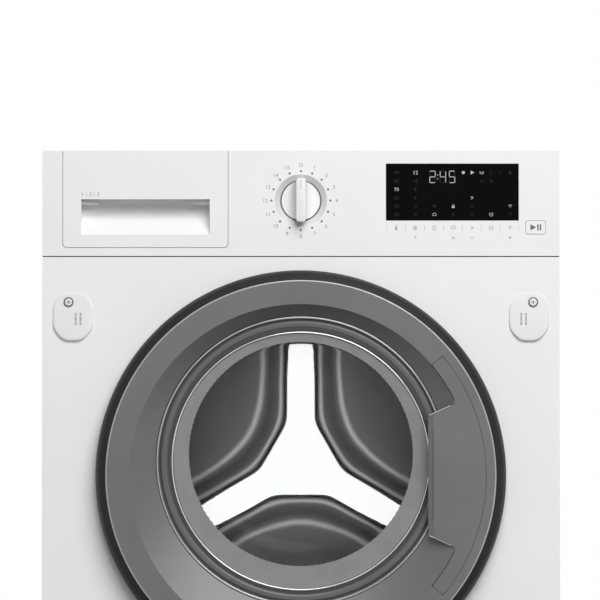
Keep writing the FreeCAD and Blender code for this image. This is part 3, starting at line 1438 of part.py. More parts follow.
# Door handle, latch and lock
def door_handle():
    """Lever flush with the ring: a strip along its face and a grip over the funnel."""
    ys = (face_y, face_y + s.handle_thick)
    strip = cut(
        "handle_strip",
        ring_sector("strip_sector", s.handle_sector.number, s.handle_radius, ys),
        cylinder("strip_core", "y", (0, ring_z), ys, s.face_inner),
    )
    reach = (ring_z - s.handle_radius, ring_z + s.handle_radius)
    grip = common(
        "handle_grip",
        ring_sector("grip_sector_solid", s.grip_sector.number, s.handle_radius, ys),
        box("grip_box", (handle_inner, s.handle_radius), ys, reach),
    )
    bevel = padded("handle_bevel_wedge", "XY_Plane", [
        (handle_inner, face_y),
        (handle_inner + s.handle_bevel, face_y),
        (handle_inner, face_y + s.handle_bevel_depth),
    ], reach)
    pivot_axis = (handle_pivot, face_y + s.handle_pivot_depth)
    pivot_z = (ring_z - s.handle_stub_half, ring_z + s.handle_stub_half)
    pivot = cylinder("handle_pivot_rod", "z", pivot_axis, pivot_z, s.handle_stub)
    blank = fused("handle_blank", strip, grip)
    corners = upright_at(s.handle_radius.number, ring_z)
    plate = cut("handle_plate", blended("handle_rounded", blank, s.handle_corner, corners), bevel)
    return fused("handle_solid", plate, pivot)


def door_latch():
    latch_y = panel_y - s.latch_proud
    zs = (ring_z - s.latch_tall, ring_z + s.latch_tall)
    arm_x = (s.latch_offset - s.latch_half, s.latch_offset + s.latch_half)
    end_y = panel_y + s.latch_reach
    arm = box("latch_arm", arm_x, (panel_y - s.latch_front, end_y), zs)
    nose_x = (arm_x[0] - s.latch_nose, arm_x[0])
    nose = box("latch_nose_block", nose_x, (end_y - s.latch_nose_thick, end_y), zs)
    pivot_z = (ring_z - s.latch_stub_half, ring_z + s.latch_stub_half)
    pivot = cylinder("latch_pivot", "z", (s.latch_offset, latch_y), pivot_z, s.latch_stub)
    return fused("latch_solid", arm, nose, pivot)


def door_lock():
    """Case behind the front panel that the latch reaches into."""
    case = box(
        "lock_case",
        widened(latch_room_x, s.lock_wall),
        span(panel_y + s.sheet, s.lock_depth),
        (ring_z - s.lock_half, ring_z + s.lock_half),
    )
    mouth_y = span(panel_y + s.sheet, s.lock_depth - s.lock_wall)
    return cut("lock_formed", case, box("lock_mouth", latch_room_x, mouth_y, latch_room_z))


node("door_handle", door_handle())
node("door_latch", door_latch())
node("door_lock", door_lock())


# Gasket
def gasket():
    """Bellows from the porthole's edge to the tub's collar, with a lip around the glass."""
    hole = s.porthole_radius
    wall = s.gasket_wall
    collar = s.tub_mouth + s.tub_wall
    collar_y = tub_y - s.tub_collar
    bead_back = panel_y + s.sheet + s.gasket_gap
    wall_back = bead_back + wall
    pitch = s.gasket_pitch
    fold = hole - s.gasket_fold
    clip_y = tub_y - s.gasket_gap
    return turned("bellows", [
        (hole + s.gasket_bead, panel_y - s.gasket_front),
        (hole - wall, panel_y - s.gasket_front),
        (s.gasket_lip + wall, panel_y),
        (s.gasket_lip, panel_y + wall / 2),
        (s.gasket_lip, wall_back + wall / 2),
        (s.gasket_lip + wall, wall_back),
        (hole - wall, wall_back + wall / 2),
        (hole - wall, collar_y - 2 * pitch),
        (fold, collar_y - pitch),
        (fold, collar_y - pitch / 2),
        (collar, collar_y),
        (collar, clip_y),
        (collar + wall, clip_y),
        (collar + wall, collar_y - wall / 2),
        (fold + wall, collar_y - (pitch + wall) / 2),
        (hole, collar_y - 2 * pitch + wall / 2),
        (hole, wall_back),
        (hole + s.gasket_bead, wall_back),
        (hole + s.gasket_bead, bead_back),
        (hole - s.gasket_gap, bead_back),
        (hole - s.gasket_gap, panel_y - s.gasket_gap),
        (hole + s.gasket_bead, panel_y - s.gasket_gap),
    ], drum_z)


node("gasket", gasket())

# Pump places
pump_axis = (pump_x, s.pump_height)
barrel_y = span(plinth_y + s.pump_front, s.pump_barrel)
inlet_y = barrel_y[0] + s.pump_inlet
inlet_x = pump_x - s.pump_radius - s.pump_inlet_reach
outlet_x = pump_x + s.pump_radius + s.pump_inlet_reach

# Tub
well_y = span(tub_y + s.well_front, s.well_length)
well_floor = drum_z - tub_inner - s.well_drop
sump_axis = (s.sump_x, inlet_y)
sump_z = (well_floor - s.tub_wall - s.sump_length, well_floor)
heater_z = well_floor + s.heater_drop


def heater_legs(name, ys):
    return [
        cylinder(f"{name}_{side_name}", "y", (side * s.heater_half, heater_z), ys, s.heater_tube)
        for side_name, side in SIDES.items()
    ]


def tub_front():
    """Front half of the tub: mouth collar, heater well, sump and fill spigots, damper lugs."""
    shell = turned("tub_front_shell", [
        (s.tub_mouth, tub_y - s.tub_collar),
        (s.tub_mouth + s.tub_wall, tub_y - s.tub_collar),
        (s.tub_mouth + s.tub_wall, tub_y),
        (tub_outer, tub_y),
        (tub_outer, s.tub_split - s.tub_flange_thick),
        (tub_outer + s.tub_flange, s.tub_split - s.tub_flange_thick),
        (tub_outer + s.tub_flange, s.tub_split),
        (tub_inner, s.tub_split),
        (tub_inner, tub_y + s.tub_wall),
        (s.tub_mouth, tub_y + s.tub_wall),
    ], drum_z)
    wall = s.tub_wall
    well_z = (well_floor - wall, drum_z - tub_inner + s.well_drop)
    well = box("well", (-s.well_half, s.well_half), well_y, well_z)
    sump = cylinder("sump", "z", sump_axis, sump_z, s.spigot_radius)
    fill_low = drum_z + tub_inner / 2
    fill = cylinder("fill", "z", fill_axis, (fill_low, fill_z[0]), s.fill_spigot)
    lugs = []
    for side_name, side in SIDES.items():
        xs = mirrored(side, damper_x - s.lug_half, damper_x + s.lug_half)
        ys = (s.damper_y - s.lug_half, s.damper_y + s.lug_half)
        lugs.append(box(f"damper_lug_{side_name}", xs, ys, (drum_z - damper_lug, drum_z)))
    inside = cylinder("tub_room", "y", (0, drum_z), (tub_y + wall, s.tub_split), tub_inner)
    half_room = s.well_half - wall
    room_y = (well_y[0] + wall, well_y[1] - wall)
    room = box("well_room", (-half_room, half_room), room_y, (well_floor, drum_z))
    sump_bore = cylinder("sump_bore", "z", sump_axis, (sump_z[0], well_floor + wall), s.spigot_bore)
    fill_bore = cylinder("fill_hole", "z", fill_axis, (fill_low, fill_z[0]), s.fill_bore)
    heater_holes = heater_legs("heater_hole", (well_y[0], well_y[0] + wall))
    blank = fused("tub_front_blank", shell, well, sump, fill, *lugs)
    return cut("tub_front_formed", blank, inside, room, sump_bore, fill_bore, *heater_holes)


def tub_rear():
    """Rear half of the tub: bearing hub, ribs and spring lugs."""
    back = tub_back + s.tub_back_wall
    shell = turned("tub_rear_shell", [
        (tub_inner, s.tub_split),
        (tub_outer + s.tub_flange, s.tub_split),
        (tub_outer + s.tub_flange, s.tub_split + s.tub_flange_thick),
        (tub_outer, s.tub_split + s.tub_flange_thick),
        (tub_outer, back),
        (s.hub_radius, back),
        (s.hub_radius, hub_back),
        (s.bearing_outer, hub_back),
        (s.bearing_outer, hub_front),
        (s.hub_radius, hub_front),
        (s.hub_radius, tub_back),
        (tub_inner, tub_back),
    ], drum_z)
    pieces = [shell]
    for angle in range(0, 360, 45):
        rib_y = (back, back + s.rib_height)
        rib = padded(f"rib_{angle}", "XZ_Plane", rectangle(
            (-s.rib_thick / 2, s.rib_thick / 2), (s.bearing_outer + s.rib_thick, tub_outer)
        ), rib_y)
        rib.Placement = Placement(Vector(), Rotation(Vector(0, 1, 0), angle))
        place(rib, 0, rib_y[0], drum_z)
        pieces.append(rib)
    for side_name, side in SIDES.items():
        xs = mirrored(side, spring_x - s.lug_half, spring_x + s.lug_half)
        ys = (s.spring_y - s.lug_half, s.spring_y + s.lug_half)
        zs = (drum_z, drum_z + spring_lug)
        pieces.append(box(f"spring_lug_{side_name}", xs, ys, zs))
    inside = cylinder("tub_rear_room", "y", (0, drum_z), (s.tub_split, tub_back), tub_inner)
    core = cylinder("hub_core", "y", (0, drum_z), (hub_front, tub_back), s.hub_radius)
    bore = cylinder("hub_bore", "y", (0, drum_z), (hub_front, hub_back), s.bearing_outer)
    emptied = cut("tub_rear_emptied", fused("tub_rear_blank", *pieces), cut("tub_rear_void", inside, core))
    return cut("tub_rear_formed", emptied, bore)


WEIGHT_STARTS = {"upper": 30, "lower": 210}
WEIGHT_SWEEP = 120


def counterweights():
    """Two ring sectors on the tub's front and a block on its top."""
    ys = (tub_y - s.weight_thick, tub_y)
    weights = []
    for name, start in WEIGHT_STARTS.items():
        outside = cylinder(
            f"weight_{name}", "y", (0, drum_z), ys, weight_outer, start=start, sweep=WEIGHT_SWEEP
        )
        inside = cylinder(f"weight_core_{name}", "y", (0, drum_z), ys, s.weight_inner)
        weights.append(cut(f"weight_{name}_formed", outside, inside))
    block_y = span(s.block_front, s.block_length)
    block = box("block", block_x, block_y, block_z)
    weights.append(cut("block_formed", block, cylinder("block_seat", "y", (0, drum_z), block_y, tub_outer)))
    return group("weights", weights)


def heater():
    """Bent tube in the well and the plate that carries it."""
    bend_y = well_y[0] + s.heater_length
    legs = heater_legs("heater_leg", (well_y[0] - s.heater_plate, bend_y))
    bend = doc.addObject("Part::Torus", "heater_bend")
    bend.Angle3 = 180
    bend.setExpression("Radius1", s.heater_half.text)
    bend.setExpression("Radius2", s.heater_tube.text)
    place(bend, 0, bend_y, heater_z)
    plate = box(
        "heater_plate_box",
        (-s.heater_plate_half, s.heater_plate_half),
        (well_y[0] - s.heater_plate, well_y[0]),
        span(heater_z - s.heater_plate_height / 2, s.heater_plate_height),
    )
    return fused("heater_solid", *legs, bend, plate)


def bearing(name, y):
    ys = span(y, s.bearing_width)
    ring = cylinder(f"race_{name}", "y", (0, drum_z), ys, s.bearing_outer)
    bore = cylinder(f"race_bore_{name}", "y", (0, drum_z), ys, s.shaft_radius + s.shaft_play)
    return cut(f"bearing_{name}", ring, bore)


node("tub_front", tub_front())
node("tub_rear", tub_rear())
node("counterweights", counterweights())
node("heater", heater())
bearing_places = {"front": hub_front, "rear": hub_back - s.bearing_width}
node("bearings", group("bearing_set", [bearing(name, y) for name, y in bearing_places.items()]))


# Suspension
def spring(name, side):
    axis = (side * spring_x, s.spring_y)
    zs = (drum_z + spring_lug, spring_top)
    coil = cylinder(f"coil_{name}", "z", axis, zs, s.spring_radius)
    return cut(f"spring_{name}", coil, cylinder(f"coil_bore_{name}", "z", axis, zs, s.spring_bore))


def damper_tube(name, side):
    axis = (side * damper_x, s.damper_y)
    zs = span(floor_z, s.damper_length)
    case = cylinder(f"damper_{name}", "z", axis, zs, s.damper_radius)
    bore_z = (floor_z + s.hanger_wall, zs[1])
    return cut(
        f"damper_tube_{name}", case,
        cylinder(f"damper_bore_{name}", "z", axis, bore_z, s.rod_radius + s.damper_play),
    )


def damper_rod(name, side):
    axis = (side * damper_x, s.damper_y)
    top = drum_z - damper_lug
    return cylinder(f"rod_{name}", "z", axis, (top - s.rod_length, top), s.rod_radius)


for label, make in (
    ("suspension_springs", spring),
    ("damper_tubes", damper_tube),
    ("damper_rods", damper_rod),
):
    node(label, group(label + "_pair", [make(name, side) for name, side in SIDES.items()]))


# Drum
THIRDS = (0, 120, 240)


def about_drum(body, angle, y):
    """Sets a body that was drawn around the origin about the drum's axis."""
    body.Placement = Placement(Vector(), Rotation(Vector(0, 1, 0), angle))
    place(body, 0, y, drum_z)
    return body


def three_legs(name, half_width, reach, ys):
    """Three legs about the drum's axis."""
    outline = rectangle((-half_width, half_width), (0, reach))
    legs = []
    for angle in THIRDS:
        legs.append(about_drum(padded(f"{name}_{angle}", "XZ_Plane", outline, ys), angle, ys[0]))
    return fused(f"{name}_legs", *legs)


def star(name, half_width, blend, reach, ys):
    """Three legs blended into each other and cut round at their ends."""
    legs = three_legs(name, half_width, reach, ys)
    corner = half_width.number / math.sin(math.radians(60))
    blended_legs = blended(f"{name}_blended", legs, blend, upright_at(corner, drum_z))
    return common(f"{name}_star", blended_legs, cylinder(f"{name}_limit", "y", (0, drum_z), ys, reach))


def drum_shell():
    """Cylinder with a shoulder and a rolled neck at the mouth."""
    inner = drum_radius - s.drum_sheet
    return turned("drum_can", [
        (s.drum_mouth, drum_y),
        (drum_radius - s.drum_shoulder, drum_y),
        (drum_radius, drum_y + s.drum_shoulder),
        (drum_radius, drum_end),
        (inner, drum_end),
        (inner, drum_y + s.drum_shoulder + s.drum_sheet / 2),
        (inner - s.drum_shoulder + s.drum_sheet / 2, drum_y + s.drum_sheet),
        (s.drum_mouth + s.drum_sheet, drum_y + s.drum_sheet),
        (s.drum_mouth + s.drum_sheet, drum_y + s.drum_neck),
        (s.drum_mouth, drum_y + s.drum_neck),
    ], drum_z)


def drum_back():
    """Rear sheet pressed forward in two steps to a three-legged star."""
    thin = s.drum_sheet
    step = s.emboss_height
    disc = cylinder("back_disc", "y", (0, drum_z), (drum_end - thin, drum_end), drum_radius - thin)
    raised = [disc]
    hollows = []
    for level, (width, blend) in enumerate((
        (s.emboss_outer, s.emboss_outer_round),
        (s.emboss_inner, s.emboss_inner_round),
    ), 1):
        floor = drum_end - level * step
        raised.append(star(f"raised_{level}", width, blend, emboss_reach, (floor - thin, drum_end)))
        inner_reach = emboss_reach - thin
        hollows.append(star(f"hollow_{level}", width - thin, blend + thin, inner_reach, (floor, drum_end)))
    return cut("back_formed", fused("back_blank", *raised), *hollows)


def drum_lifters():
    inner = drum_radius - s.drum_sheet
    ys = (drum_y + s.lifter_margin, drum_end - s.lifter_margin)
    outline = [
        (-s.lifter_base, -inner),
        (s.lifter_base, -inner),
        (s.lifter_top, s.lifter_height - inner),
        (-s.lifter_top, s.lifter_height - inner),
    ]
    lifters = []
    for angle in THIRDS:
        rib = padded(f"lifter_{angle}", "XZ_Plane", outline, ys)
        rounded(rib, s.lifter_top, along("y", z=s.lifter_height - inner))
        limit = cylinder(f"lifter_limit_{angle}", "y", (0, drum_z), ys, inner)
        lifters.append(common(f"lifter_{angle}_fitted", about_drum(rib, angle, ys[0]), limit))
    return group("lifters", lifters)


def drum_spider():
    """Three arms behind the drum, their hub and the shaft."""
    ys = span(drum_end, s.spider_thick)
    reach = drum_radius - s.drum_shoulder
    arms = three_legs("arm", s.spider_arm, reach, ys)
    hub = cylinder("spider_hub_disc", "y", (0, drum_z), span(drum_end, s.spider_hub_thick), s.spider_hub)
    shaft = cylinder("drum_shaft", "y", (0, drum_z), (drum_end, pulley_y + s.pulley_width), s.shaft_radius)
    return fused("spider_solid", arms, hub, shaft)


node("drum_shell", drum_shell())
node("drum_back", drum_back())
node("drum_lifters", drum_lifters())
node("drum_spider", drum_spider())

# Drive
PULLEY_HOLES = 5
pulley_end = pulley_y + s.pulley_width
pulley_middle = pulley_y + s.pulley_width / 2


def drum_pulley():
    web = (pulley_middle - s.pulley_web / 2, pulley_middle + s.pulley_web / 2)
    rim = s.pulley_radius - s.pulley_rim
    wheel = turned("pulley_wheel", [
        (s.shaft_radius, pulley_y),
        (s.pulley_hub, pulley_y),
        (s.pulley_hub, web[0]),
        (rim, web[0]),
        (rim, pulley_y),
        (s.pulley_radius, pulley_y),
        (s.pulley_radius, pulley_end),
        (rim, pulley_end),
        (rim, web[1]),
        (s.pulley_hub, web[1]),
        (s.pulley_hub, pulley_end),
        (s.shaft_radius, pulley_end),
    ], drum_z)
    holes = []
    for step in range(PULLEY_HOLES):
        turn = 2 * math.pi * step / PULLEY_HOLES
        axis = (s.pulley_hole_circle * math.cos(turn), drum_z + s.pulley_hole_circle * math.sin(turn))
        holes.append(cylinder(f"pulley_opening_{step}", "y", axis, (pulley_y, pulley_end), s.pulley_hole))
    return cut("pulley_formed", wheel, *holes)


def motor_body():
    """Motor under the tub, hung from the tub by two arms."""
    motor_y = span(motor_front, s.motor_length)
    axis = (s.motor_x, motor_z)
    case = cylinder("motor_case", "y", axis, motor_y, s.motor_radius)
    arm_x = (s.motor_x - s.motor_arm, s.motor_x + s.motor_arm)
    arm_z = (motor_z, drum_z - tub_outer + s.motor_arm_rise)
    arms = []
    for name, y in (
        ("front", motor_y[0] + s.motor_arm_inset),
        ("rear", motor_y[1] - s.motor_arm_inset - s.motor_arm_thick),
    ):
        arms.append(box(f"motor_arm_{name}", arm_x, span(y, s.motor_arm_thick), arm_z))
    seat = cylinder("motor_seat", "y", (0, drum_z), motor_y, tub_outer)
    bore_y = (motor_y[1] - s.rotor_sink, motor_y[1])
    bore = cylinder("motor_bore", "y", axis, bore_y, s.rotor_shaft + s.shaft_play)
    return cut("motor_formed", fused("motor_solid", case, *arms), seat, bore)


def motor_rotor():
    axis = (s.motor_x, motor_z)
    shaft_y = (motor_front + s.motor_length - s.rotor_sink, pulley_end)
    shaft = cylinder("rotor_rod", "y", axis, shaft_y, s.rotor_shaft)
    wheel = cylinder("rotor_wheel", "y", axis, (pulley_y, pulley_end), s.rotor_pulley)
    return fused("rotor_solid", shaft, wheel)


def belt_loop(name, large, small, ys):
    """Everything inside a belt that runs over two pulleys of given radii."""
    across = as_size(s.motor_x)
    down = motor_z - drum_z
    length = root(across * across + down * down)
    along_x = across / length
    along_z = down / length
    lean = (large - small) / length
    straight = root(1 - lean * lean)
    corners = []
    for turn, wheels in ((1, (large, small)), (-1, (small, large))):
        normal_x = along_x * lean - turn * straight * along_z
        normal_z = along_z * lean + turn * straight * along_x
        for radius in wheels:
            centre_x, centre_z = (0, drum_z) if radius is large else (s.motor_x, motor_z)
            corners.append((centre_x + normal_x * radius, centre_z + normal_z * radius))
    band = padded(f"{name}_band", "XZ_Plane", corners, ys)
    return fused(
        f"{name}_loop",
        band,
        cylinder(f"{name}_large", "y", (0, drum_z), ys, large),
        cylinder(f"{name}_small", "y", (s.motor_x, motor_z), ys, small),
    )


def belt():
    ys = (pulley_middle - s.belt_width / 2, pulley_middle + s.belt_width / 2)
    inside = [s.pulley_radius + s.belt_gap, s.rotor_pulley + s.belt_gap]
    outside = [radius + s.belt_thick for radius in inside]
    return cut("belt_formed", belt_loop("belt_outside", *outside, ys), belt_loop("belt_inside", *inside, ys))


node("drum_pulley", drum_pulley())
node("motor_body", motor_body())
node("motor_rotor", motor_rotor())
node("belt", belt())

# Water
valve_y = (rear_y - s.sheet - s.valve_depth, rear_y - s.sheet)
collar_y = (rear_y - s.sheet - s.outlet_collar_thick, rear_y - s.sheet)


def inlet_valve():
    """Solenoid valve behind the rear panel, with its threaded stub outside and a spigot inside."""
    half_width = s.valve_half
    x, z = valve_axis
    case = box("valve_case", (x - half_width, x + half_width), valve_y, (z - half_width, z + half_width))
    stub = cylinder("valve_stub", "y", valve_axis, (valve_y[1], rear_y + s.cover_proud), s.thread_radius)
    spigot_y = (valve_y[0] - s.hose_radius, valve_y[0])
    spigot = cylinder("valve_spigot", "y", valve_axis, spigot_y, s.hose_radius)
    bore = cylinder("valve_bore", "y", valve_axis, (rear_y, rear_y + s.cover_proud), s.thread_bore)
    return cut("valve_formed", fused("valve_solid", case, stub, spigot), bore)


def valve_hose():
    x, z = valve_axis
    start = valve_y[0] - s.hose_radius
    end = housing_y[1]
    shift = 2 * s.hose_radius
    run = (start - end) / 3
    return tube("valve_tube", [
        (x, start, z),
        (x, start - run, z),
        (x - shift, end + run, z + s.hose_radius),
        (x - shift, end, z + s.hose_radius),
    ], s.hose_radius)


def fill_hose():
    sleeve = cylinder("fill_sleeve", "z", fill_axis, fill_z, s.fill_spigot)
    return cut("fill_hose_solid", sleeve, cylinder("fill_sleeve_bore", "z", fill_axis, fill_z, s.fill_bore))


def sump_hose():
    x, y = sump_axis
    low = s.pump_height
    return tube("sump_tube", [(x, y, sump_z[0]), (x, y, low), (inlet_x, y, low)], s.spigot_radius)


def drain_pump():
    """Filter barrel, pump motor and stand."""
    barrel = cylinder("pump_barrel_case", "y", pump_axis, barrel_y, s.pump_radius)
    motor = cylinder("pump_motor_case", "y", pump_axis, span(barrel_y[1], s.pump_motor), s.pump_motor_radius)
    stand_x = (pump_x - s.pump_stand, pump_x + s.pump_stand)
    stand = box("pump_stand_block", stand_x, barrel_y, (floor_z, s.pump_height))
    inlet = cylinder("pump_inlet_pipe", "x", (inlet_y, s.pump_height), (inlet_x, pump_x), s.spigot_radius)
    outlet = cylinder("pump_outlet_pipe", "x", (inlet_y, s.pump_height), (pump_x, outlet_x), s.hose_radius)
    bore_y = span(barrel_y[0], s.filter_length + s.filter_cap_thick)
    bore = cylinder("pump_bore_hole", "y", pump_axis, bore_y, s.pump_bore)
    pipe_x = (inlet_x, pump_x)
    inlet_bore = cylinder("pump_inlet_bore", "x", (inlet_y, s.pump_height), pipe_x, s.spigot_bore)
    return cut("pump_formed", fused("pump_solid", barrel, motor, stand, inlet, outlet), bore, inlet_bore)


def filter_cap():
    """Screw cap with a grip, and the strainer behind it."""
    cap_y = (barrel_y[0] - s.filter_cap_thick, barrel_y[0])
    cap = cylinder("filter_cap_disc", "y", pump_axis, cap_y, s.filter_cap)
    radius = s.pump_bore - s.filter_play
    strainer_y = span(barrel_y[0], s.filter_length)
    strainer = cylinder("strainer", "y", pump_axis, strainer_y, radius)
    hollow = cylinder("strainer_room", "y", pump_axis, strainer_y, radius - s.filter_wall)
    grip = box(
        "filter_grip_bar",
        (pump_x - s.filter_cap + s.filter_grip_half, pump_x + s.filter_cap - s.filter_grip_half),
        (cap_y[0] - s.filter_grip, cap_y[0]),
        (s.pump_height - s.filter_grip_half, s.pump_height + s.filter_grip_half),
    )
    return fused("filter_solid", cap, cut("strainer_shell", strainer, hollow), grip)


def drain_outlet():
    """Spigot through the rear panel, with a collar against its inside."""
    pipe = cylinder("outlet_pipe", "y", outlet_axis, (collar_y[0], rear_y + s.cover_proud), s.outlet_radius)
    collar = cylinder("outlet_collar_disc", "y", outlet_axis, collar_y, s.outlet_collar)
    bore = cylinder("outlet_bore_hole", "y", outlet_axis, (rear_y, rear_y + s.cover_proud), s.outlet_bore)
    return cut("outlet_formed", fused("outlet_solid", pipe, collar), bore)


def drain_hose():
    """Hose from the pump along the right side up to the outlet moulded on its end."""
    hose = tube("drain_tube", [
        (outlet_x, inlet_y, s.pump_height),
        (hose_x, inlet_y, s.pump_height),
        (hose_x, collar_y[0] - s.hose_end, outlet_height),
        (hose_x, collar_y[0], outlet_height),
    ], s.hose_radius)
    return fused("drain_hose_solid", hose, drain_outlet())


def cord_gland():
    ys = (rear_y - s.sheet - s.gland_radius, rear_y + s.cover_proud)
    sleeve = cylinder("gland_sleeve", "y", gland_axis, ys, s.gland_radius)
    return cut("gland_formed", sleeve, cylinder("gland_bore_hole", "y", gland_axis, ys, s.gland_bore))


for make in (inlet_valve, valve_hose, fill_hose, sump_hose, drain_pump, filter_cap, drain_hose, cord_gland):
    node(make.__name__, make())

# Checks and export
doc.recompute()
for feature in doc.Objects:
    if {"Invalid", "Error"} & set(feature.State):
        raise RuntimeError(f"{feature.Name} failed: {feature.State}")
for label, solid in nodes.items():
    if solid.Shape.isNull() or not solid.Shape.isValid():
        raise RuntimeError(f"{label} has no valid shape")
os.makedirs("parts", exist_ok=True)
for label, solid in nodes.items():
    solid.Shape.exportStep(f"parts/{label}.step")
print(f"{len(nodes)} sub-parts, {sum(len(solid.Shape.Solids) for solid in nodes.values())} solids")
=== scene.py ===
import json
import math

import bmesh
import bpy
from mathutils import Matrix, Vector


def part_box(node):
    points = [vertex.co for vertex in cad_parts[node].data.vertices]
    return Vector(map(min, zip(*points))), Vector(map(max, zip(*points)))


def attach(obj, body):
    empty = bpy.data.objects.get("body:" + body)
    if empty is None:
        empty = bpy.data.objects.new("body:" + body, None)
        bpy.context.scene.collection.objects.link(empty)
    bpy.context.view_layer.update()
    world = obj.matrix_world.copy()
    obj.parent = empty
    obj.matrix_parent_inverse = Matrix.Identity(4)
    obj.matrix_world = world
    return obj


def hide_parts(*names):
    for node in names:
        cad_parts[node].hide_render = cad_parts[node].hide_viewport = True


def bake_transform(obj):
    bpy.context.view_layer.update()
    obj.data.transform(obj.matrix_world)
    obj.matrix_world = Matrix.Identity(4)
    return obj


# Integrated front-loading washing machine: finishes, fine shapes, prints, light and camera.
# Metres, X to the right, Y to the back, Z up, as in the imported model.

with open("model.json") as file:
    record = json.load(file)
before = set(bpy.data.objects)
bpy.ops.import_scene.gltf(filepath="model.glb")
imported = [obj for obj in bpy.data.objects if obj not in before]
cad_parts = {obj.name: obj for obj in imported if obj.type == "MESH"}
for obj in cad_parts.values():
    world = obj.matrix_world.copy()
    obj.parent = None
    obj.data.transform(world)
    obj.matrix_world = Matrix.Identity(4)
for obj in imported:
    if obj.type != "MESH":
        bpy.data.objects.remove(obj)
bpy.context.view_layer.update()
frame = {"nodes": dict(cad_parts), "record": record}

MM = 0.001
MICRON = 0.000001
TURN = 2 * math.pi
SIDES = (("left", -1), ("right", 1))
ENDS = (("upper", 1), ("lower", -1))


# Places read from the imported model
def middle(node):
    low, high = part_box(node)
    return (low + high) / 2


def half_width(node):
    low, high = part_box(node)
    return (high.x - low.x) / 2


def depth_span(node):
    """Y of a node's front and of its back."""
    low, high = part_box(node)
    return low.y, high.y


PANEL_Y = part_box("front_panel")[0].y
FASCIA_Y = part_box("control_panel")[0].y
TOP_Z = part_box("control_panel")[1].z
RING_Z = middle("door_ring").z
DRUM_Z = middle("drum_shell").z
KNOB_Z = middle("programme_knob").z

# Node materials
WHITE = (1, 1, 1, 1)
METAL = "Metallic"
SHINE = "Specular IOR Level"
WHOLE = (0.0, 1.0)
ZINC_CRYSTALS = 240
ZINC_GRAIN = 700
GLASS_WAVES = 30
BRUSH_GRAIN = 500
FLOOR_GRAIN = 60


def linear(level):
    """Linear value of a level between 0 and 255."""
    share = level / 255
    if share <= 0.04045:
        return share / 12.92
    return ((share + 0.055) / 1.055) ** 2.4


def colour(level):
    """Colour of a grey level, or of a (red, green, blue) triple of levels."""
    levels = level if isinstance(level, tuple) else (level, level, level)
    return (*(linear(part) for part in levels), 1.0)


def feed(tree, node, inputs):
    """Sets a node's inputs; those that are another node's output are linked."""
    for name, value in inputs.items():
        if isinstance(value, bpy.types.NodeSocket):
            tree.links.new(value, node.inputs[name])
        else:
            node.inputs[name].default_value = value


def add(tree, kind, inputs):
    node = tree.nodes.new("ShaderNode" + kind)
    feed(tree, node, inputs)
    return node


def start_material(name):
    material = bpy.data.materials.new(name)
    material.use_nodes = True
    tree = material.node_tree
    return material, tree, tree.nodes["Principled BSDF"]


def own_place(tree):
    """A piece's own coordinates."""
    return add(tree, "TexCoord", {}).outputs["Object"]


def noise(tree, scale, stretch=(1, 1, 1), detail=3.0):
    """Noise in the piece's own coordinates; scale counts features per metre."""
    mapping = add(tree, "Mapping", {"Vector": own_place(tree), "Scale": stretch})
    inputs = {"Vector": mapping.outputs["Vector"], "Scale": scale, "Detail": detail}
    return add(tree, "TexNoise", inputs).outputs["Fac"]


def ramp(tree, value, levels, limits=(0.3, 0.7)):
    """Colour between two levels, as a value goes from one limit to the other."""
    node = add(tree, "ValToRGB", {"Fac": value})
    for element, position, level in zip(node.color_ramp.elements, limits, levels):
        element.position = position
        element.color = colour(level)
    return node.outputs["Color"]


def spread(tree, value, results, limits=(0.25, 0.75), kind="LINEAR"):
    """Number between two results, as a value goes from one limit to the other."""
    names = ("Value", "From Min", "From Max", "To Min", "To Max")
    node = add(tree, "MapRange", dict(zip(names, (value, *limits, *results))))
    node.interpolation_type = kind
    return node.outputs["Result"]


def relief(tree, value, depth):
    """Bump of a depth in micrometres."""
    inputs = {"Height": value, "Strength": 1.0, "Distance": depth * MICRON}
    return add(tree, "Bump", inputs).outputs["Normal"]


def finish(name, levels, rough, mottle, grain, depth, extras, stretch=(1, 1, 1)):
    """A surface with mottled colour, uneven gloss and a fine grain."""
    material, tree, shader = start_material(name)
    cloud = noise(tree, mottle, stretch)
    fine = noise(tree, grain, stretch, detail=2.0)
    feed(tree, shader, {
        "Base Color": ramp(tree, cloud, levels),
        "Roughness": spread(tree, fine, rough),
        "Normal": relief(tree, fine, depth),
        **extras,
    })
    return material


def spangled(name, levels, rough):
    """Galvanised sheet: crystals of differing grey and gloss."""
    material, tree, shader = start_material(name)
    cells = add(tree, "TexVoronoi", {"Vector": own_place(tree), "Scale": ZINC_CRYSTALS})
    split = add(tree, "SeparateColor", {"Color": cells.outputs["Color"]})
    feed(tree, shader, {
        "Base Color": ramp(tree, split.outputs["Red"], levels, WHOLE),
        "Roughness": spread(tree, split.outputs["Green"], rough),
        "Normal": relief(tree, noise(tree, ZINC_GRAIN), 10),
        METAL: 0.25,
        SHINE: 0.25,
    })
    return material


def clear_glass(name, levels, rough):
    """Pressed glass with faint waves and a breath of haze."""
    material, tree, shader = start_material(name)
    waves = noise(tree, GLASS_WAVES)
    feed(tree, shader, {
        "Base Color": ramp(tree, waves, levels),
        "Roughness": spread(tree, waves, rough),
        "Normal": relief(tree, waves, 20),
        "Transmission Weight": 1.0,
        "IOR": 1.14,
        "Specular Tint": (0.4, 0.4, 0.4, 1),
    })
    return material


def pressed_steel(name, levels, rough):
    """Drum sheet: dull and dark in its hollows as painted shade, near white and glossy where its
    polish_and_sheen attribute is high, which is partly real polish and partly painted highlight.
    """
    material, tree, shader = start_material(name)
    attribute = add(tree, "Attribute", {})
    attribute.attribute_name = "polish_and_sheen"
    feed(tree, shader, {
        "Base Color": ramp(tree, attribute.outputs["Fac"], levels, WHOLE),
        "Roughness": spread(tree, attribute.outputs["Fac"], rough),
        "Normal": relief(tree, noise(tree, BRUSH_GRAIN, (1, 1, 0.1)), 1),
        METAL: 1.0,
    })
    return material


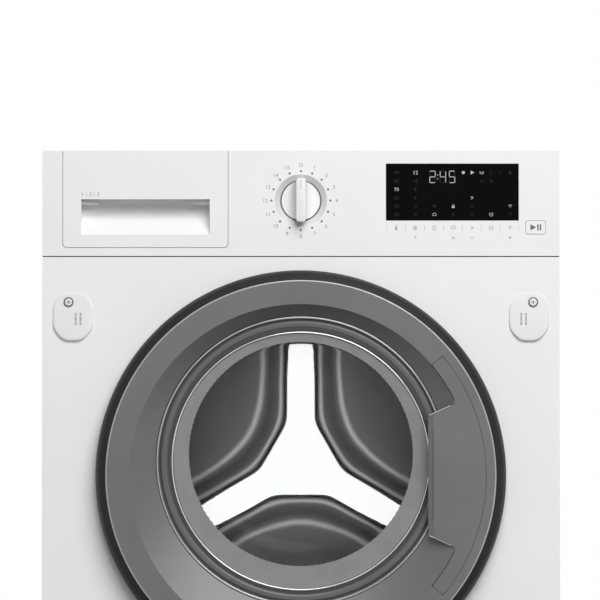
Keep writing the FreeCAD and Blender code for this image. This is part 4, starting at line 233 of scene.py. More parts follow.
def seen_rays(tree):
    """One for rays from the camera, from gloss and through glass, and zero for the rest."""
    path = add(tree, "LightPath", {})
    seen = path.outputs["Is Camera Ray"]
    for ray in ("Is Glossy Ray", "Is Transmission Ray"):
        total = add(tree, "Math", {0: seen, 1: path.outputs[ray]})
        total.operation = "ADD"
        total.use_clamp = True
        seen = total.outputs["Value"]
    return seen


def pale_floor(name, levels, rough, fade):
    """Pale where it is seen, white far out, and dim in the light that it throws up at the object."""
    material, tree, shader = start_material(name)
    seen = seen_rays(tree)
    fine = noise(tree, FLOOR_GRAIN)
    reach = add(tree, "VectorMath", {0: own_place(tree)})
    reach.operation = "LENGTH"
    feed(tree, shader, {
        "Base Color": ramp(tree, seen, levels, WHOLE),
        "Roughness": spread(tree, fine, rough),
        "Normal": relief(tree, fine, 20),
        "Emission Strength": spread(tree, reach.outputs["Value"], (0.0, seen), fade, "SMOOTHSTEP"),
        "Emission Color": WHITE,
    })
    return material


# Two colours, roughness, features of the mottle and of the grain per metre, the grain's depth in
# micrometres, and what differs from the shader's own values
FINISHES = {
    "white_enamel": ((238, 241), (0.28, 0.36), 6, 900, 4, {}),
    "white_plastic": ((234, 237), (0.38, 0.48), 8, 1600, 6, {}),
    "warm_plastic": (((232, 231, 229), (236, 235, 233)), (0.4, 0.5), 9, 1500, 8, {}),
    "cover_plastic": (((230, 229, 228), (233, 232, 231)), (0.45, 0.55), 9, 1500, 8, {}),
    # dial_dish_shade: a grey painted as the shade in the knob's dish.
    "dial_dish_shade": ((207, 212), (0.45, 0.55), 30, 1200, 4, {}),
    "display_black": ((5, 8), (0.08, 0.14), 12, 300, 2, {SHINE: 0.04}),
    "board": (((70, 92, 72), (84, 106, 84)), (0.5, 0.6), 40, 900, 10, {}),
    "door_grey": ((95, 102), (0.34, 0.44), 10, 2600, 6, {METAL: 0.25}),
    "bezel_grey": ((82, 89), (0.3, 0.4), 10, 2400, 5, {METAL: 0.3}),
    # dark_rim_and_crease_shade: the door rim's own dark colour, and painted shade on the handle's crease.
    "dark_rim_and_crease_shade": ((26, 31), (0.4, 0.5), 12, 2400, 6, {SHINE: 0.2}),
    # groove_shade: a dark grey painted as the shade in the bezel's grooves.
    "groove_shade": ((30, 36), (0.5, 0.6), 20, 1500, 6, {}),
    # gap_shade_grey: a grey painted as the shade in the gap around the handle.
    "gap_shade_grey": ((88, 94), (0.5, 0.6), 20, 1500, 4, {}),
    # edge_highlight: light grey painted as the highlight on the door face's rounded edge, with real gloss as
    # well.
    "edge_highlight": ((158, 168), (0.2, 0.28), 20, 1500, 2, {SHINE: 0.8}),
    # handle_highlight: light grey painted as the highlight along the ends of the handle's grip.
    "handle_highlight": ((190, 204), (0.3, 0.4), 20, 1500, 2, {METAL: 0.3}),
    "chrome_trim": ((186, 200), (0.1, 0.2), 30, 500, 2, {METAL: 1.0}),
    "dull_trim": ((142, 156), (0.16, 0.26), 30, 500, 2, {METAL: 1.0}),
    "glass_border": ((125, 133), (0.3, 0.4), 40, 1200, 4, {}),
    "rubber_grey": ((116, 126), (0.55, 0.68), 14, 1800, 10, {}),
    "steel": ((150, 172), (0.3, 0.42), 30, 900, 5, {METAL: 1.0}),
    "stainless": ((150, 170), (0.26, 0.36), 14, 700, 4, {METAL: 1.0}, (1, 0.15, 1)),
    "screw_plate": ((214, 226), (0.3, 0.42), 60, 900, 4, {METAL: 0.2}),
    "tub_plastic": ((150, 160), (0.5, 0.6), 10, 1000, 10, {}),
    "weight_iron": ((84, 104), (0.7, 0.85), 25, 500, 100, {}),
    "alloy": ((146, 164), (0.42, 0.56), 20, 900, 20, {METAL: 0.9}),
    "black_plastic": ((30, 36), (0.45, 0.56), 15, 1500, 10, {}),
    "hose_black": ((24, 31), (0.5, 0.62), 18, 1200, 10, {}),
    "hose_grey": ((136, 148), (0.5, 0.6), 18, 1200, 10, {}),
    # The inks are print, and painted shade too: dark in the knob's gap and the screws' sinks, grey in the
    # screws' cross recesses and the slots' pins, pale in the grip's pointer groove and the covers' slots.
    "dark_ink_and_shade": ((84, 92), (0.5, 0.6), 60, 900, 3, {}),
    "grey_ink_and_shade": ((132, 140), (0.5, 0.6), 60, 900, 3, {}),
    "pale_ink_and_shade": ((176, 184), (0.5, 0.6), 60, 900, 3, {}),
    "ghost_segment": ((34, 38), (0.5, 0.6), 60, 900, 2, {SHINE: 0.1}),
    "lit_segment": (
        (150, 162), (0.5, 0.6), 60, 900, 2, {"Emission Strength": 0.22, "Emission Color": colour(225)}
    ),
}
M = {name: finish(name, *values) for name, values in FINISHES.items()}
M["zinc_sheet"] = spangled("zinc_sheet", (184, 196), (0.46, 0.56))
M["door_glass"] = clear_glass("door_glass", ((253, 255, 254), 255), (0.0, 0.02))
# The star's colours run from 77, painted shade on the petals, to 254, painted highlight on the star's face
# and ridge crests, with real polish in part.
M["star_steel"] = pressed_steel("star_steel", (77, 254), (0.36, 0.06))
M["floor"] = pale_floor("floor", (120, 238), (0.6, 0.7), (0.5, 3.2))

for row in frame["record"]["subparts"]:
    node_mesh = frame["nodes"][row["node"]].data
    node_mesh.materials.clear()
    node_mesh.materials.append(M[row["material_slot"]])

# Mesh helpers; a shape is a list of vertices and a list of faces
MERGE = 1e-6


def placed(name, mesh, look, body):
    """An object of a mesh, riding on a body if one is given."""
    mesh.materials.append(M[look])
    obj = bpy.data.objects.new(name, mesh)
    bpy.context.scene.collection.objects.link(obj)
    if body:
        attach(obj, body)
    return obj


def piece(name, shape, look, body="cabinet", node=None, angle=32):
    """An object of a shape, smooth inside an angle in degrees, in place of a node if one is given.
    """
    mesh = bpy.data.meshes.new(name)
    mesh.from_pydata(shape[0], [], shape[1])
    work = bmesh.new()
    work.from_mesh(mesh)
    bmesh.ops.remove_doubles(work, verts=work.verts, dist=MERGE)
    loose = [vertex for vertex in work.verts if not vertex.link_faces]
    bmesh.ops.delete(work, geom=loose, context="VERTS")
    bmesh.ops.recalc_face_normals(work, faces=work.faces)
    work.to_mesh(mesh)
    work.free()
    mesh.shade_smooth()
    mesh.set_sharp_from_angle(angle=math.radians(angle))
    obj = placed(name, mesh, look, body)
    if node:
        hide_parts(node)
    return obj


def turns(count):
    """Angles of equal steps around a circle."""
    return [TURN * step / count for step in range(count)]


def polar(a, b, radius, angle):
    """Point on a circle around (a, b)."""
    return a + radius * math.cos(angle), b + radius * math.sin(angle)


def eased(share):
    """A share between 0 and 1, with a soft start and end."""
    share = min(max(share, 0.0), 1.0)
    return share * share * (3 - 2 * share)


def rounded(points, steps=5):
    """Closed outline of (a, b, rounding) points with its corners rounded."""
    outline = []
    for index, (a, b, size) in enumerate(points):
        corner = Vector((a, b))
        if size == 0:
            outline.append(corner)
            continue
        before = Vector(points[index - 1][:2]) - corner
        after = Vector(points[(index + 1) % len(points)][:2]) - corner
        start = corner + before * min(size / before.length, 0.5)
        end = corner + after * min(size / after.length, 0.5)
        for step in range(steps + 1):
            t = step / steps
            outline.append(start.lerp(corner, t).lerp(corner.lerp(end, t), t))
    return outline


def rounded_box(half_a, half_b, size):
    signs = ((-1, -1), (1, -1), (1, 1), (-1, 1))
    return rounded([(half_a * a, half_b * b, size) for a, b in signs])


def skin(levels, closed=False):
    """Quads through closed outlines with equal counts, and from the last to the first if closed."""
    count = len(levels[0])
    faces = []
    for ring in range(len(levels) if closed else len(levels) - 1):
        low, high = ring * count, (ring + 1) % len(levels) * count
        for k in range(count):
            after = (k + 1) % count
            faces.append((low + k, low + after, high + after, high + k))
    return [point for level in levels for point in level], faces


def loft(levels):
    """A skin that is capped at both ends."""
    verts, faces = skin(levels)
    count = len(levels[0])
    return verts, [tuple(range(count)), tuple(range(len(verts) - count, len(verts)))] + faces


def lathe(outline, centre_z, steps, ripple=None, lean=None, centre_x=0.0):
    """A closed (radius, y) outline turned about Y; ripple moves its points out, and lean moves them up."""
    levels = []
    for angle in turns(steps):
        level = []
        for radius, y in outline:
            reach = radius + (ripple(radius, angle) if ripple else 0)
            x, z = polar(centre_x, centre_z + (lean(y) if lean else 0), reach, angle)
            level.append((x, y, z))
        levels.append(level)
    return skin(levels, closed=True)


def curve_mesh(curve):
    """Points and faces of a curve, which is used up."""
    carrier = bpy.data.objects.new("carrier", curve)
    mesh = bpy.data.meshes.new_from_object(carrier)
    points = [vertex.co.copy() for vertex in mesh.vertices]
    faces = [tuple(face.vertices) for face in mesh.polygons]
    bpy.data.objects.remove(carrier)
    bpy.data.curves.remove(curve)
    bpy.data.meshes.remove(mesh)
    return points, faces


def spline(route, resolution):
    """Points along a smooth spline that follows a route."""
    curve = bpy.data.curves.new("route", "CURVE")
    curve.dimensions = "3D"
    curve.resolution_u = resolution
    line = curve.splines.new("NURBS")
    line.points.add(len(route) - 1)
    for point, place in zip(line.points, route):
        point.co = (*place, 1)
    line.order_u = 3
    line.use_endpoint_u = True
    return curve_mesh(curve)[0]


def sweep(points, radius, sides, rib=None):
    """A capped tube along points; rib gives what comes off its radius after a length."""
    levels = []
    travelled = 0.0
    side = (points[1] - points[0]).normalized().orthogonal()
    for index, point in enumerate(points):
        behind = points[max(index - 1, 0)]
        ahead = points[min(index + 1, len(points) - 1)]
        along = (ahead - behind).normalized()
        side = (side - along * side.dot(along)).normalized()
        other = along.cross(side)
        travelled += (point - behind).length
        reach = radius - (rib(travelled) if rib else 0)
        around = [side * math.cos(turn) + other * math.sin(turn) for turn in turns(sides)]
        levels.append([point + way * reach for way in around])
    return loft(levels)


def thickened(verts, faces, shift):
    """A sheet of faces and its copy moved by a vector, joined along their borders."""
    count = len(verts)
    both = verts + [tuple(Vector(vertex) + shift) for vertex in verts]
    shell = faces + [tuple(count + k for k in face) for face in faces]
    uses = {}
    for face in faces:
        for a, b in zip(face, face[1:] + face[:1]):
            edge = (min(a, b), max(a, b))
            uses[edge] = uses.get(edge, 0) + 1
    shell += [(a, b, count + b, count + a) for (a, b), number in uses.items() if number == 1]
    return both, shell


def joined(shapes):
    """One shape from several."""
    verts = []
    faces = []
    for part_verts, part_faces in shapes:
        faces += [tuple(len(verts) + k for k in face) for face in part_faces]
        verts += part_verts
    return verts, faces


# Cabinet sheets: each is a grid, sunk where stiffening beads are pressed into it
SHEET = 1 * MM
BEAD_EDGE = 9 * MM
FINE_STEP = 2.5 * MM
COARSE_STEP = 14 * MM


def grid_lines(low, high, edges, stops):
    """Coordinates from low to high, close together near the edges of beads."""
    lines = [low]
    while lines[-1] < high:
        near = min(abs(lines[-1] - edge) for edge in edges) < 2 * COARSE_STEP
        lines.append(min(lines[-1] + (FINE_STEP if near else COARSE_STEP), high))
    return sorted(set(lines) | set(stops))


def pressed_depth(u, v, beads):
    """Depth at a point of beads with rounded corners and soft edges."""
    total = 0.0
    for low_u, low_v, high_u, high_v, corner, depth in beads:
        out_u = max(low_u + corner - u, u - high_u + corner, 0.0)
        out_v = max(low_v + corner - v, v - high_v + corner, 0.0)
        total += depth * eased((corner - math.hypot(out_u, out_v)) / BEAD_EDGE)
    return total


def pressed_sheet(name, node, spans, beads, place, inward, recess=()):
    """A panel in place of a node; place gives the point at (u, v, depth), recess cuts off a low corner."""
    beads = [tuple(size * MM for size in bead) for bead in beads]
    lines_u = grid_lines(*spans[0], [bead[k] for bead in beads for k in (0, 2)], recess[:1])
    lines_v = grid_lines(*spans[1], [bead[k] for bead in beads for k in (1, 3)], recess[1:])
    verts = [place(u, v, pressed_depth(u, v, beads)) for v in lines_v for u in lines_u]
    faces = []
    for row in range(len(lines_v) - 1):
        for column in range(len(lines_u) - 1):
            if recess and lines_u[column + 1] <= recess[0] and lines_v[row + 1] <= recess[1]:
                continue
            low = row * len(lines_u) + column
            high = low + len(lines_u)
            faces.append((low, low + 1, high + 1, high))
    piece(name, thickened(verts, faces, inward * SHEET), "zinc_sheet", node=node, angle=50)


# Beads in millimetres: low u, low v, high u, high v, corner and depth. A rib that stands up again in a
# sunk field has a negative depth.
PRESS = 3
RIB_HALF = 16
RIB_ROUND = 13
SIDE_BEADS = [(-178, 140, 208, 772, 40, PRESS), (-150, 50, 208, 100, 22, PRESS)]
SIDE_BEADS += [(y - RIB_HALF, 190, y + RIB_HALF, 722, RIB_ROUND, -PRESS) for y in (-100, 15, 130)]
TOP_BEADS = [(-255, -195, 255, 215, 42, PRESS)]
TOP_BEADS += [(-205, y - RIB_HALF, 205, y + RIB_HALF, RIB_ROUND, -PRESS) for y in (-110, 10, 130)]
REAR_BEADS = [
    (-60, 694, 225, 734, 18, PRESS),
    (-230, 150, 195, 190, 18, PRESS),
    (-230, 70, 195, 110, 18, PRESS),
    (-268, 245, -222, 690, 18, PRESS),
    (222, 245, 258, 640, 17, PRESS),
]
RECESS = (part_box("base_tray")[0].y - SHEET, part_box("front_panel")[0].z)
SPRING_LOW, SPRING_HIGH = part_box("suspension_springs")
SPRING_Y = (SPRING_LOW.y + SPRING_HIGH.y) / 2
COIL_R = 11 * MM
WIRE_R = 2 * MM
SPRING_X = SPRING_HIGH.x - COIL_R - WIRE_R
HANGER_HALF = 20 * MM
HANGER_WALL = 3 * MM
for side_name, side in SIDES:
    low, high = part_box(f"side_panel_{side_name}")
    outside = max(abs(low.x), abs(high.x))
    pressed_sheet(
        f"side_sheet_{side_name}", f"side_panel_{side_name}", ((low.y, high.y), (low.z, high.z)), SIDE_BEADS,
        lambda u, v, depth: (side * (outside - depth), u, v), Vector((-side, 0, 0)), RECESS,
    )
    near, far = side * (SPRING_X - HANGER_HALF), side * (outside - SHEET)
    front, back = SPRING_Y - HANGER_HALF, SPRING_Y + HANGER_HALF
    hanger = loft([
        [(near, front, z), (near, back, z), (far, back, z), (far, front, z)]
        for z in (SPRING_HIGH.z, SPRING_HIGH.z + HANGER_WALL)
    ])
    piece(f"spring_hanger_{side_name}", hanger, "zinc_sheet")
low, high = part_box("top_panel")
pressed_sheet(
    "top_sheet", "top_panel", ((low.x, high.x), (low.y, high.y)), TOP_BEADS,
    lambda u, v, depth: (u, v, TOP_Z - depth), Vector((0, 0, -1)),
)
low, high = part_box("rear_panel")
REAR_Y = high.y
pressed_sheet(
    "rear_sheet", "rear_panel", ((low.x, high.x), (low.z, high.z)), REAR_BEADS,
    lambda u, v, depth: (u, REAR_Y - depth, v), Vector((0, -1, 0)),
)

# Rear cover: a dish with a ring and a middle field pressed into it, as (radius, depth) in millimetres
REAR_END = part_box("rear_cover")[1].y
REAR_RIM = half_width("rear_cover")
REAR_ROUND = 2 * MM
REAR_STEPS = 180
REAR_PROFILE = [(52, 3), (60, 0), (96, 0), (102, 3), (112, 3), (118, 0), (145, 0), (165, 14)]


def rear_line(shift):
    """The dish from its middle outwards, moved to the front by a shift."""
    line = [(r * MM, REAR_END - depth * MM - shift, REAR_ROUND) for r, depth in REAR_PROFILE]
    return [(0, line[0][1], 0)] + line


rear_outline = rear_line(0) + [(REAR_RIM, REAR_Y + SHEET, 0), (REAR_RIM, REAR_Y, 0)] + rear_line(SHEET)[::-1]
rear_dish = lathe(rounded(rear_outline), middle("rear_cover").z, REAR_STEPS)
piece("rear_dish", rear_dish, "zinc_sheet", node="rear_cover")

# Hexagon screws and transport bolts at the back
WASHER_STEPS = 24
HEXAGON = 6


def hexagon_screw(x, z, y, washer, head, tall):
    """Washer and hexagon head on a face that looks to the back."""
    step = y + tall / 3
    washer_outline = rounded([(0, y, 0), (washer, y, 0), (washer, step, 0.3 * MM), (0, step, 0)])
    head_outline = rounded([(0, step, 0), (head, step, 0), (head, y + tall, 0.5 * MM), (0, y + tall, 0)])
    return [lathe(washer_outline, z, WASHER_STEPS, centre_x=x), lathe(head_outline, z, HEXAGON, centre_x=x)]


SHEET_SCREW = (5.5 * MM, 4.2 * MM, 3 * MM)
EDGE_X = 288 * MM
EDGE_Z = (50 * MM, 300 * MM, 550 * MM, 795 * MM)
REAR_SCREWS = 8
REAR_SCREW_R = 174 * MM
TRANSPORT_BOLT = (18 * MM, 9 * MM, 12 * MM)
BOLT_REACH = 166 * MM
screws = []
for x in (-EDGE_X, EDGE_X):
    for z in EDGE_Z:
        screws += hexagon_screw(x, z, REAR_Y, *SHEET_SCREW)
for number in range(REAR_SCREWS):
    place = polar(0, DRUM_Z, REAR_SCREW_R, TURN * (number + 0.5) / REAR_SCREWS)
    screws += hexagon_screw(*place, REAR_Y + SHEET, *SHEET_SCREW)
piece("rear_screws", joined(screws), "steel")
bolts = [
    hexagon_screw(x, DRUM_Z + rise, REAR_Y, *TRANSPORT_BOLT)
    for x in (-BOLT_REACH, BOLT_REACH) for rise in (-BOLT_REACH, BOLT_REACH)
]
piece("transport_caps", joined([cap for cap, bolt in bolts]), "black_plastic")
piece("transport_bolts", joined([bolt for cap, bolt in bolts]), "steel")


# Blank plate, and air slots at the back drawn as thin black plates of painted shade
def rear_block(x, z, width, height, thick):
    outline = rounded_box(width / 2, height / 2, width / 20)
    return loft([[(x + a, y, z + b) for a, b in outline] for y in (REAR_Y, REAR_Y + thick)])


PLATE_X, PLATE_Z = -60 * MM, 235 * MM
PLATE_SIZE = (90 * MM, 46 * MM, 0.5 * MM)
AIR_X, AIR_Z = 70 * MM, 770 * MM
AIR_SIZE = (5 * MM, 36 * MM, 0.3 * MM)
AIR_SLOTS = 9
AIR_STEP = 13 * MM
piece("blank_plate", rear_block(PLATE_X, PLATE_Z, *PLATE_SIZE), "screw_plate")
slots = [rear_block(AIR_X + AIR_STEP * number, AIR_Z, *AIR_SIZE) for number in range(AIR_SLOTS)]
piece("air_slot_shade", joined(slots), "hose_black")

# Door glass: a pressed bowl with a flange, a wide end and a slight dome
GLASS_FRONT, GLASS_BACK = depth_span("door_glass")
GLASS_R = half_width("door_glass")
GLASS_WALL = 5 * MM
GLASS_NECK = 146 * MM
GLASS_END = 137 * MM
GLASS_TURN = PANEL_Y + 55 * MM
GLASS_FLAT = 112 * MM
GLASS_DOME = 8 * MM
GLASS_CLAMP = GLASS_FRONT + 5 * MM
GLASS_LEAN = 6.5 * MM
LEAN_START = PANEL_Y + 8 * MM
LEAN_LENGTH = 45 * MM
GLASS_STEPS = 360


def bowl_lean(y):
    """The bowl's end lies a little above its flange."""
    return GLASS_LEAN * eased((y - LEAN_START) / LEAN_LENGTH)


glass_outline = rounded([
    (GLASS_R, GLASS_FRONT, 0.8 * MM),
    (GLASS_R, GLASS_CLAMP, 0.8 * MM),
    (GLASS_NECK, GLASS_CLAMP, 3 * MM),
    (GLASS_END, GLASS_TURN, 7 * MM),
    (GLASS_FLAT, GLASS_BACK - GLASS_DOME, 16 * MM),
    (0, GLASS_BACK, 0),
    (0, GLASS_BACK - GLASS_WALL, 0),
    (GLASS_FLAT - 0.3 * GLASS_WALL, GLASS_BACK - GLASS_DOME - GLASS_WALL, 16 * MM),
    (GLASS_END - GLASS_WALL, GLASS_TURN - 0.4 * GLASS_WALL, 4 * MM),
    (GLASS_NECK - GLASS_WALL, GLASS_FRONT, 3 * MM),
], steps=8)
glass_bowl = lathe(glass_outline, DRUM_Z, GLASS_STEPS, lean=bowl_lean)
piece("glass_bowl", glass_bowl, "door_glass", body="door", node="door_glass")

# Bezel, bright rings and dark grooves around the glass; the dark rings in the grooves are painted shade
BEZEL_FRONT, BEZEL_BACK = depth_span("glass_bezel")
TRIM_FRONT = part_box("glass_trim")[0].y
GROOVE_Y = BEZEL_FRONT + 2 * MM
INNER_LINE = 145.8 * MM
BEZEL_INNER = 148.6 * MM
OUTER_LINE = 163.4 * MM
RING_STEPS = 240
bezel_outline = rounded([
    (BEZEL_INNER, BEZEL_BACK, 0),
    (BEZEL_INNER, GROOVE_Y, 0.3 * MM),
    (152.4 * MM, GROOVE_Y, 0.6 * MM),
    (154.4 * MM, BEZEL_FRONT, 1 * MM),
    (159.4 * MM, BEZEL_FRONT, 1 * MM),
    (161.8 * MM, GROOVE_Y, 0.6 * MM),
    (163.2 * MM, BEZEL_FRONT, 0.4 * MM),
    (GLASS_R, BEZEL_FRONT, 0.2 * MM),
    (GLASS_R, BEZEL_BACK, 0),
])
outer_outline = rounded([
    (OUTER_LINE, BEZEL_FRONT, 0),
    (OUTER_LINE, TRIM_FRONT, 0.8 * MM),
    (GLASS_R, TRIM_FRONT, 0.8 * MM),
    (GLASS_R, BEZEL_FRONT, 0),
])
inner_outline = rounded([
    (INNER_LINE, BEZEL_BACK, 0),
    (INNER_LINE, GROOVE_Y, 0.5 * MM),
    (147.3 * MM, BEZEL_FRONT, 1 * MM),
    (BEZEL_INNER, BEZEL_FRONT + 1 * MM, 0.4 * MM),
    (BEZEL_INNER, BEZEL_BACK, 0),
])
RINGS = (
    ("glass_ring", bezel_outline, "bezel_grey", "bezel_grey", "glass_bezel"),
    ("bright_ring_outer", outer_outline, "dull_trim", "chrome_trim", "glass_trim"),
    ("bright_ring_inner", inner_outline, "chrome_trim", "chrome_trim", "glass_trim"),
)
for ring_name, outline, look, slot, node in RINGS:
    piece(ring_name, lathe(outline, DRUM_Z, RING_STEPS), look, "door", node)

GROOVE_LIFT = 0.15 * MM
GROOVES = {"inner": (148.7 * MM, 153.2 * MM), "outer": (160.6 * MM, 163.3 * MM)}
for groove_name, (near, far) in GROOVES.items():
    groove = rounded([
        (near, GROOVE_Y, 0),
        (near, GROOVE_Y - GROOVE_LIFT, 0),
        ((near + far) / 2, GROOVE_Y - 2 * GROOVE_LIFT, 0.4 * MM),
        (far, GROOVE_Y - GROOVE_LIFT, 0),
        (far, GROOVE_Y, 0),
    ])
    groove_ring = lathe(groove, DRUM_Z, RING_STEPS)
    piece(f"bezel_groove_shade_{groove_name}", groove_ring, "groove_shade", "door")

# Grey border around the clear part of the glass, with fine notches along its inner edge
BORDER_R = 145.6 * MM
CLEAR_R = 128.4 * MM
CLEAR_RISE = 8 * MM
BORDER_Y = BEZEL_BACK - 2.4 * MM
BORDER_DEPTH = 1.4 * MM
BORDER_BACK = BORDER_Y + 1.5 * BORDER_DEPTH
NOTCHES = 120
NOTCH_DEPTH = 0.45 * MM


def border_notch(radius, angle):
    if radius > CLEAR_R:
        return 0.0
    return NOTCH_DEPTH * math.cos(NOTCHES * angle)


def border_lean(y):
    """The clear circle lies above the border's outer circle."""
    return CLEAR_RISE * min((y - BORDER_Y) / BORDER_DEPTH, 1.0)


border_outline = [
    (BORDER_R, BORDER_Y),
    (CLEAR_R, BORDER_Y + BORDER_DEPTH),
    (CLEAR_R, BORDER_BACK),
    (BORDER_R - CLEAR_RISE, BORDER_BACK),
]
glass_border = lathe(border_outline, DRUM_Z, 4 * NOTCHES, border_notch, border_lean)
piece("glass_border", glass_border, "glass_border", "door")

# Door ring: a glossy bevel along the face's edge, coloured light grey as a painted highlight, and a dark
# rim, as (radius, depth) in millimetres
FACE_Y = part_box("door_ring")[0].y
SKIN = 0.25 * MM
BAND_STEPS = 260
EDGE_PROFILE = [(221.7, 0), (222.4, 0.1), (223.2, 0.7)]
RIM_PROFILE = [(223.2, 0.7), (229.6, 5), (231, 6.2), (234.2, 14), (235.1, 18), (235.1, 23), (232, 30)]


def door_band(name, profile, look):
    """A thin band over the ring."""
    outside = [(r * MM + SKIN, FACE_Y + depth * MM) for r, depth in profile]
    inside = [(r * MM - 2 * SKIN, FACE_Y + depth * MM + 2 * SKIN) for r, depth in profile[::-1]]
    piece(name, lathe(outside + inside, RING_Z, BAND_STEPS), look, "door", angle=50)


door_band("door_edge_highlight", EDGE_PROFILE, "edge_highlight")
door_band("door_rim", RIM_PROFILE, "dark_rim_and_crease_shade")

# Handle: a bright line along each end of its grip, a light tube painted as the highlight there, and a fine
# crease along its bevel as a dark strip of painted shade
GRIP_SECTOR = math.radians(25)
EDGE_TUBE = 0.45 * MM
EDGE_SIDES = 10
EDGE_SHIFT = 0.4 * EDGE_TUBE
EDGE_REACH = (162 * MM, 171 * MM, 180 * MM, 189 * MM)
HANDLE_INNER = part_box("door_handle")[0].x
HANDLE_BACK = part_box("door_handle")[1].y
HANDLE_BEVEL = 6.3 * MM
BEVEL_DEPTH = 2.5 * MM
CREASE = 0.5 * MM
CREASE_LONG = 52 * MM
CREASE_LIFT = -0.08 * MM
CREASE_SINK = 0.3 * MM


def on_ring(reach, angle, y):
    x, z = polar(0, RING_Z, reach, angle)
    return Vector((x, y, z))


def handle_piece(name, shape, look, angle=32):
    piece(name, shape, look, "door_handle", angle=angle)


for end_name, side in ENDS:
    across = Vector((-math.sin(GRIP_SECTOR), 0, side * math.cos(GRIP_SECTOR))) * EDGE_SHIFT
    route = [on_ring(reach, side * GRIP_SECTOR, FACE_Y + EDGE_TUBE) + across for reach in EDGE_REACH]
    handle_piece(f"handle_edge_highlight_{end_name}", sweep(route, EDGE_TUBE, EDGE_SIDES), "handle_highlight", 60)
crease_section = [(lift, -CREASE_LONG) for lift in (CREASE_SINK, CREASE_LIFT)]
crease_section += [(lift, CREASE_LONG) for lift in (CREASE_LIFT, CREASE_SINK)]
crease = []
for short in (2 * CREASE, CREASE):
    x = HANDLE_INNER + HANDLE_BEVEL - short
    y = FACE_Y + BEVEL_DEPTH * short / HANDLE_BEVEL
    crease.append([(x, y + lift, RING_Z + z) for lift, z in crease_section])
# A dark strip painted as the shade in the crease.
handle_piece("handle_crease_shade", loft(crease), "dark_rim_and_crease_shade")

# Handle: rounded corners between its grip and its strip, and the fine gap around it as a grey tube of
# painted shade
STRIP_INNER = 196 * MM
STRIP_OUTER = 212 * MM
STRIP_SECTOR = math.radians(40.15)
CORNER_ROUND = 6.5 * MM
CORNER_STEPS = 8
GAP_TUBE = 0.4 * MM
GAP_SIDES = 8
GAP_Y = FACE_Y + 0.62 * MM
GAP_ENDS = (STRIP_INNER + 1 * MM, STRIP_OUTER - 0.2 * MM)
GAP_STEPS = 80
PLUG_REACH = 210.9 * MM
PLUG_SECTOR = math.radians(39.8)
PLUG_R = 0.95 * MM
PLUG_SIDES = 12
PLUG_DEPTHS = (0.15 * MM, 1 * MM, 2 * MM, 3 * MM)


def corner_outline(side, y):
    """Area between the grip's end, the strip's inner edge and an arc that touches both."""
    turn = CORNER_ROUND / STRIP_INNER
    outline = [on_ring(STRIP_INNER + SKIN, side * (GRIP_SECTOR - SKIN / STRIP_INNER), y)]
    for step in range(CORNER_STEPS + 1):
        angle = math.pi / 2 * step / CORNER_STEPS
        reach = STRIP_INNER - CORNER_ROUND + CORNER_ROUND * math.cos(angle)
        outline.append(on_ring(reach, side * (GRIP_SECTOR + turn * (1 - math.sin(angle))), y))
    return outline


for end_name, side in ENDS:
    corner = loft([corner_outline(side, y) for y in (FACE_Y, HANDLE_BACK)])
    handle_piece(f"handle_corner_{end_name}", corner, "door_grey")
gap_route = [(reach, 1) for reach in GAP_ENDS]
gap_route += [(STRIP_OUTER, 1 - 2 * step / GAP_STEPS) for step in range(1, GAP_STEPS)]
gap_route += [(reach, -1) for reach in GAP_ENDS[::-1]]
gap_points = [on_ring(reach, STRIP_SECTOR * share, GAP_Y) for reach, share in gap_route]
handle_piece("handle_gap", sweep(gap_points, GAP_TUBE, GAP_SIDES), "gap_shade_grey", 60)
for end_name, side in ENDS:
    plug = [on_ring(PLUG_REACH, side * PLUG_SECTOR, FACE_Y + depth) for depth in PLUG_DEPTHS]
    handle_piece(f"handle_plug_{end_name}", sweep(plug, PLUG_R, PLUG_SIDES), "door_grey", 60)

# Drum back: a hollow sheet pressed to a three-legged star
BACK_FRONT, BACK_END = depth_span("drum_back")
BACK_R = half_width("drum_back")
BACK_SHEET = 1 * MM
BACK_RIM = 12 * MM
LEGS = [math.radians(angle) for angle in (90, 210, 330)]
LEG_HALF = 16.9 * MM
HUB_REACH = 39 * MM
STAR_HEIGHT = BACK_END - BACK_FRONT - BACK_SHEET
STAR_HOLLOW = 7 * MM
STAR_RINGS = 180
STAR_STEPS = 480
STAR_CORNER = 1.6 * MM
CORNER_GROWTH = 0.2
# Distance outside the star's edge in millimetres, height of the pressing there, and its polish_and_sheen:
# real polish in part on the star's face, painted highlights along the ridge crests, painted shade on the
# petals
STAR_PROFILE = [
    (-1000, 1.0, 1.0),
    (-0.6, 1.0, 1.0),
    (1, 0.98, 0.15),
    (3.6, 0.93, 0.03),
    (7.8, 0.935, 0.37),
    (13, 0.9, 0.04),
    (21, 0.87, 0.01),
    (25.5, 0.86, 0.06),
    (30.5, 0.865, 0.37),
    (36, 0.85, 0.08),
    (60, 0.83, 0.05),
    (120, 0.81, 0.045),
    (1000, 0.81, 0.045),
]


def star_distance(x, z):
    """Distance outside the star's edge, between the two nearest legs; its corners soften away from it."""
    angle = math.atan2(z, x)
    nearest = sorted(LEGS, key=lambda leg: math.cos(angle - leg))[-2:]
    edges = [abs(z * math.cos(leg) - x * math.sin(leg)) - LEG_HALF for leg in nearest]
    split = math.atan2(sum(math.sin(leg) for leg in nearest), sum(math.cos(leg) for leg in nearest))
    edges.append(x * math.cos(split) + z * math.sin(split) - HUB_REACH)
    least = min(edges)
    soft = STAR_CORNER + CORNER_GROWTH * max(least, 0.0)
    return least - soft * math.log(sum(math.exp((least - edge) / soft) for edge in edges))


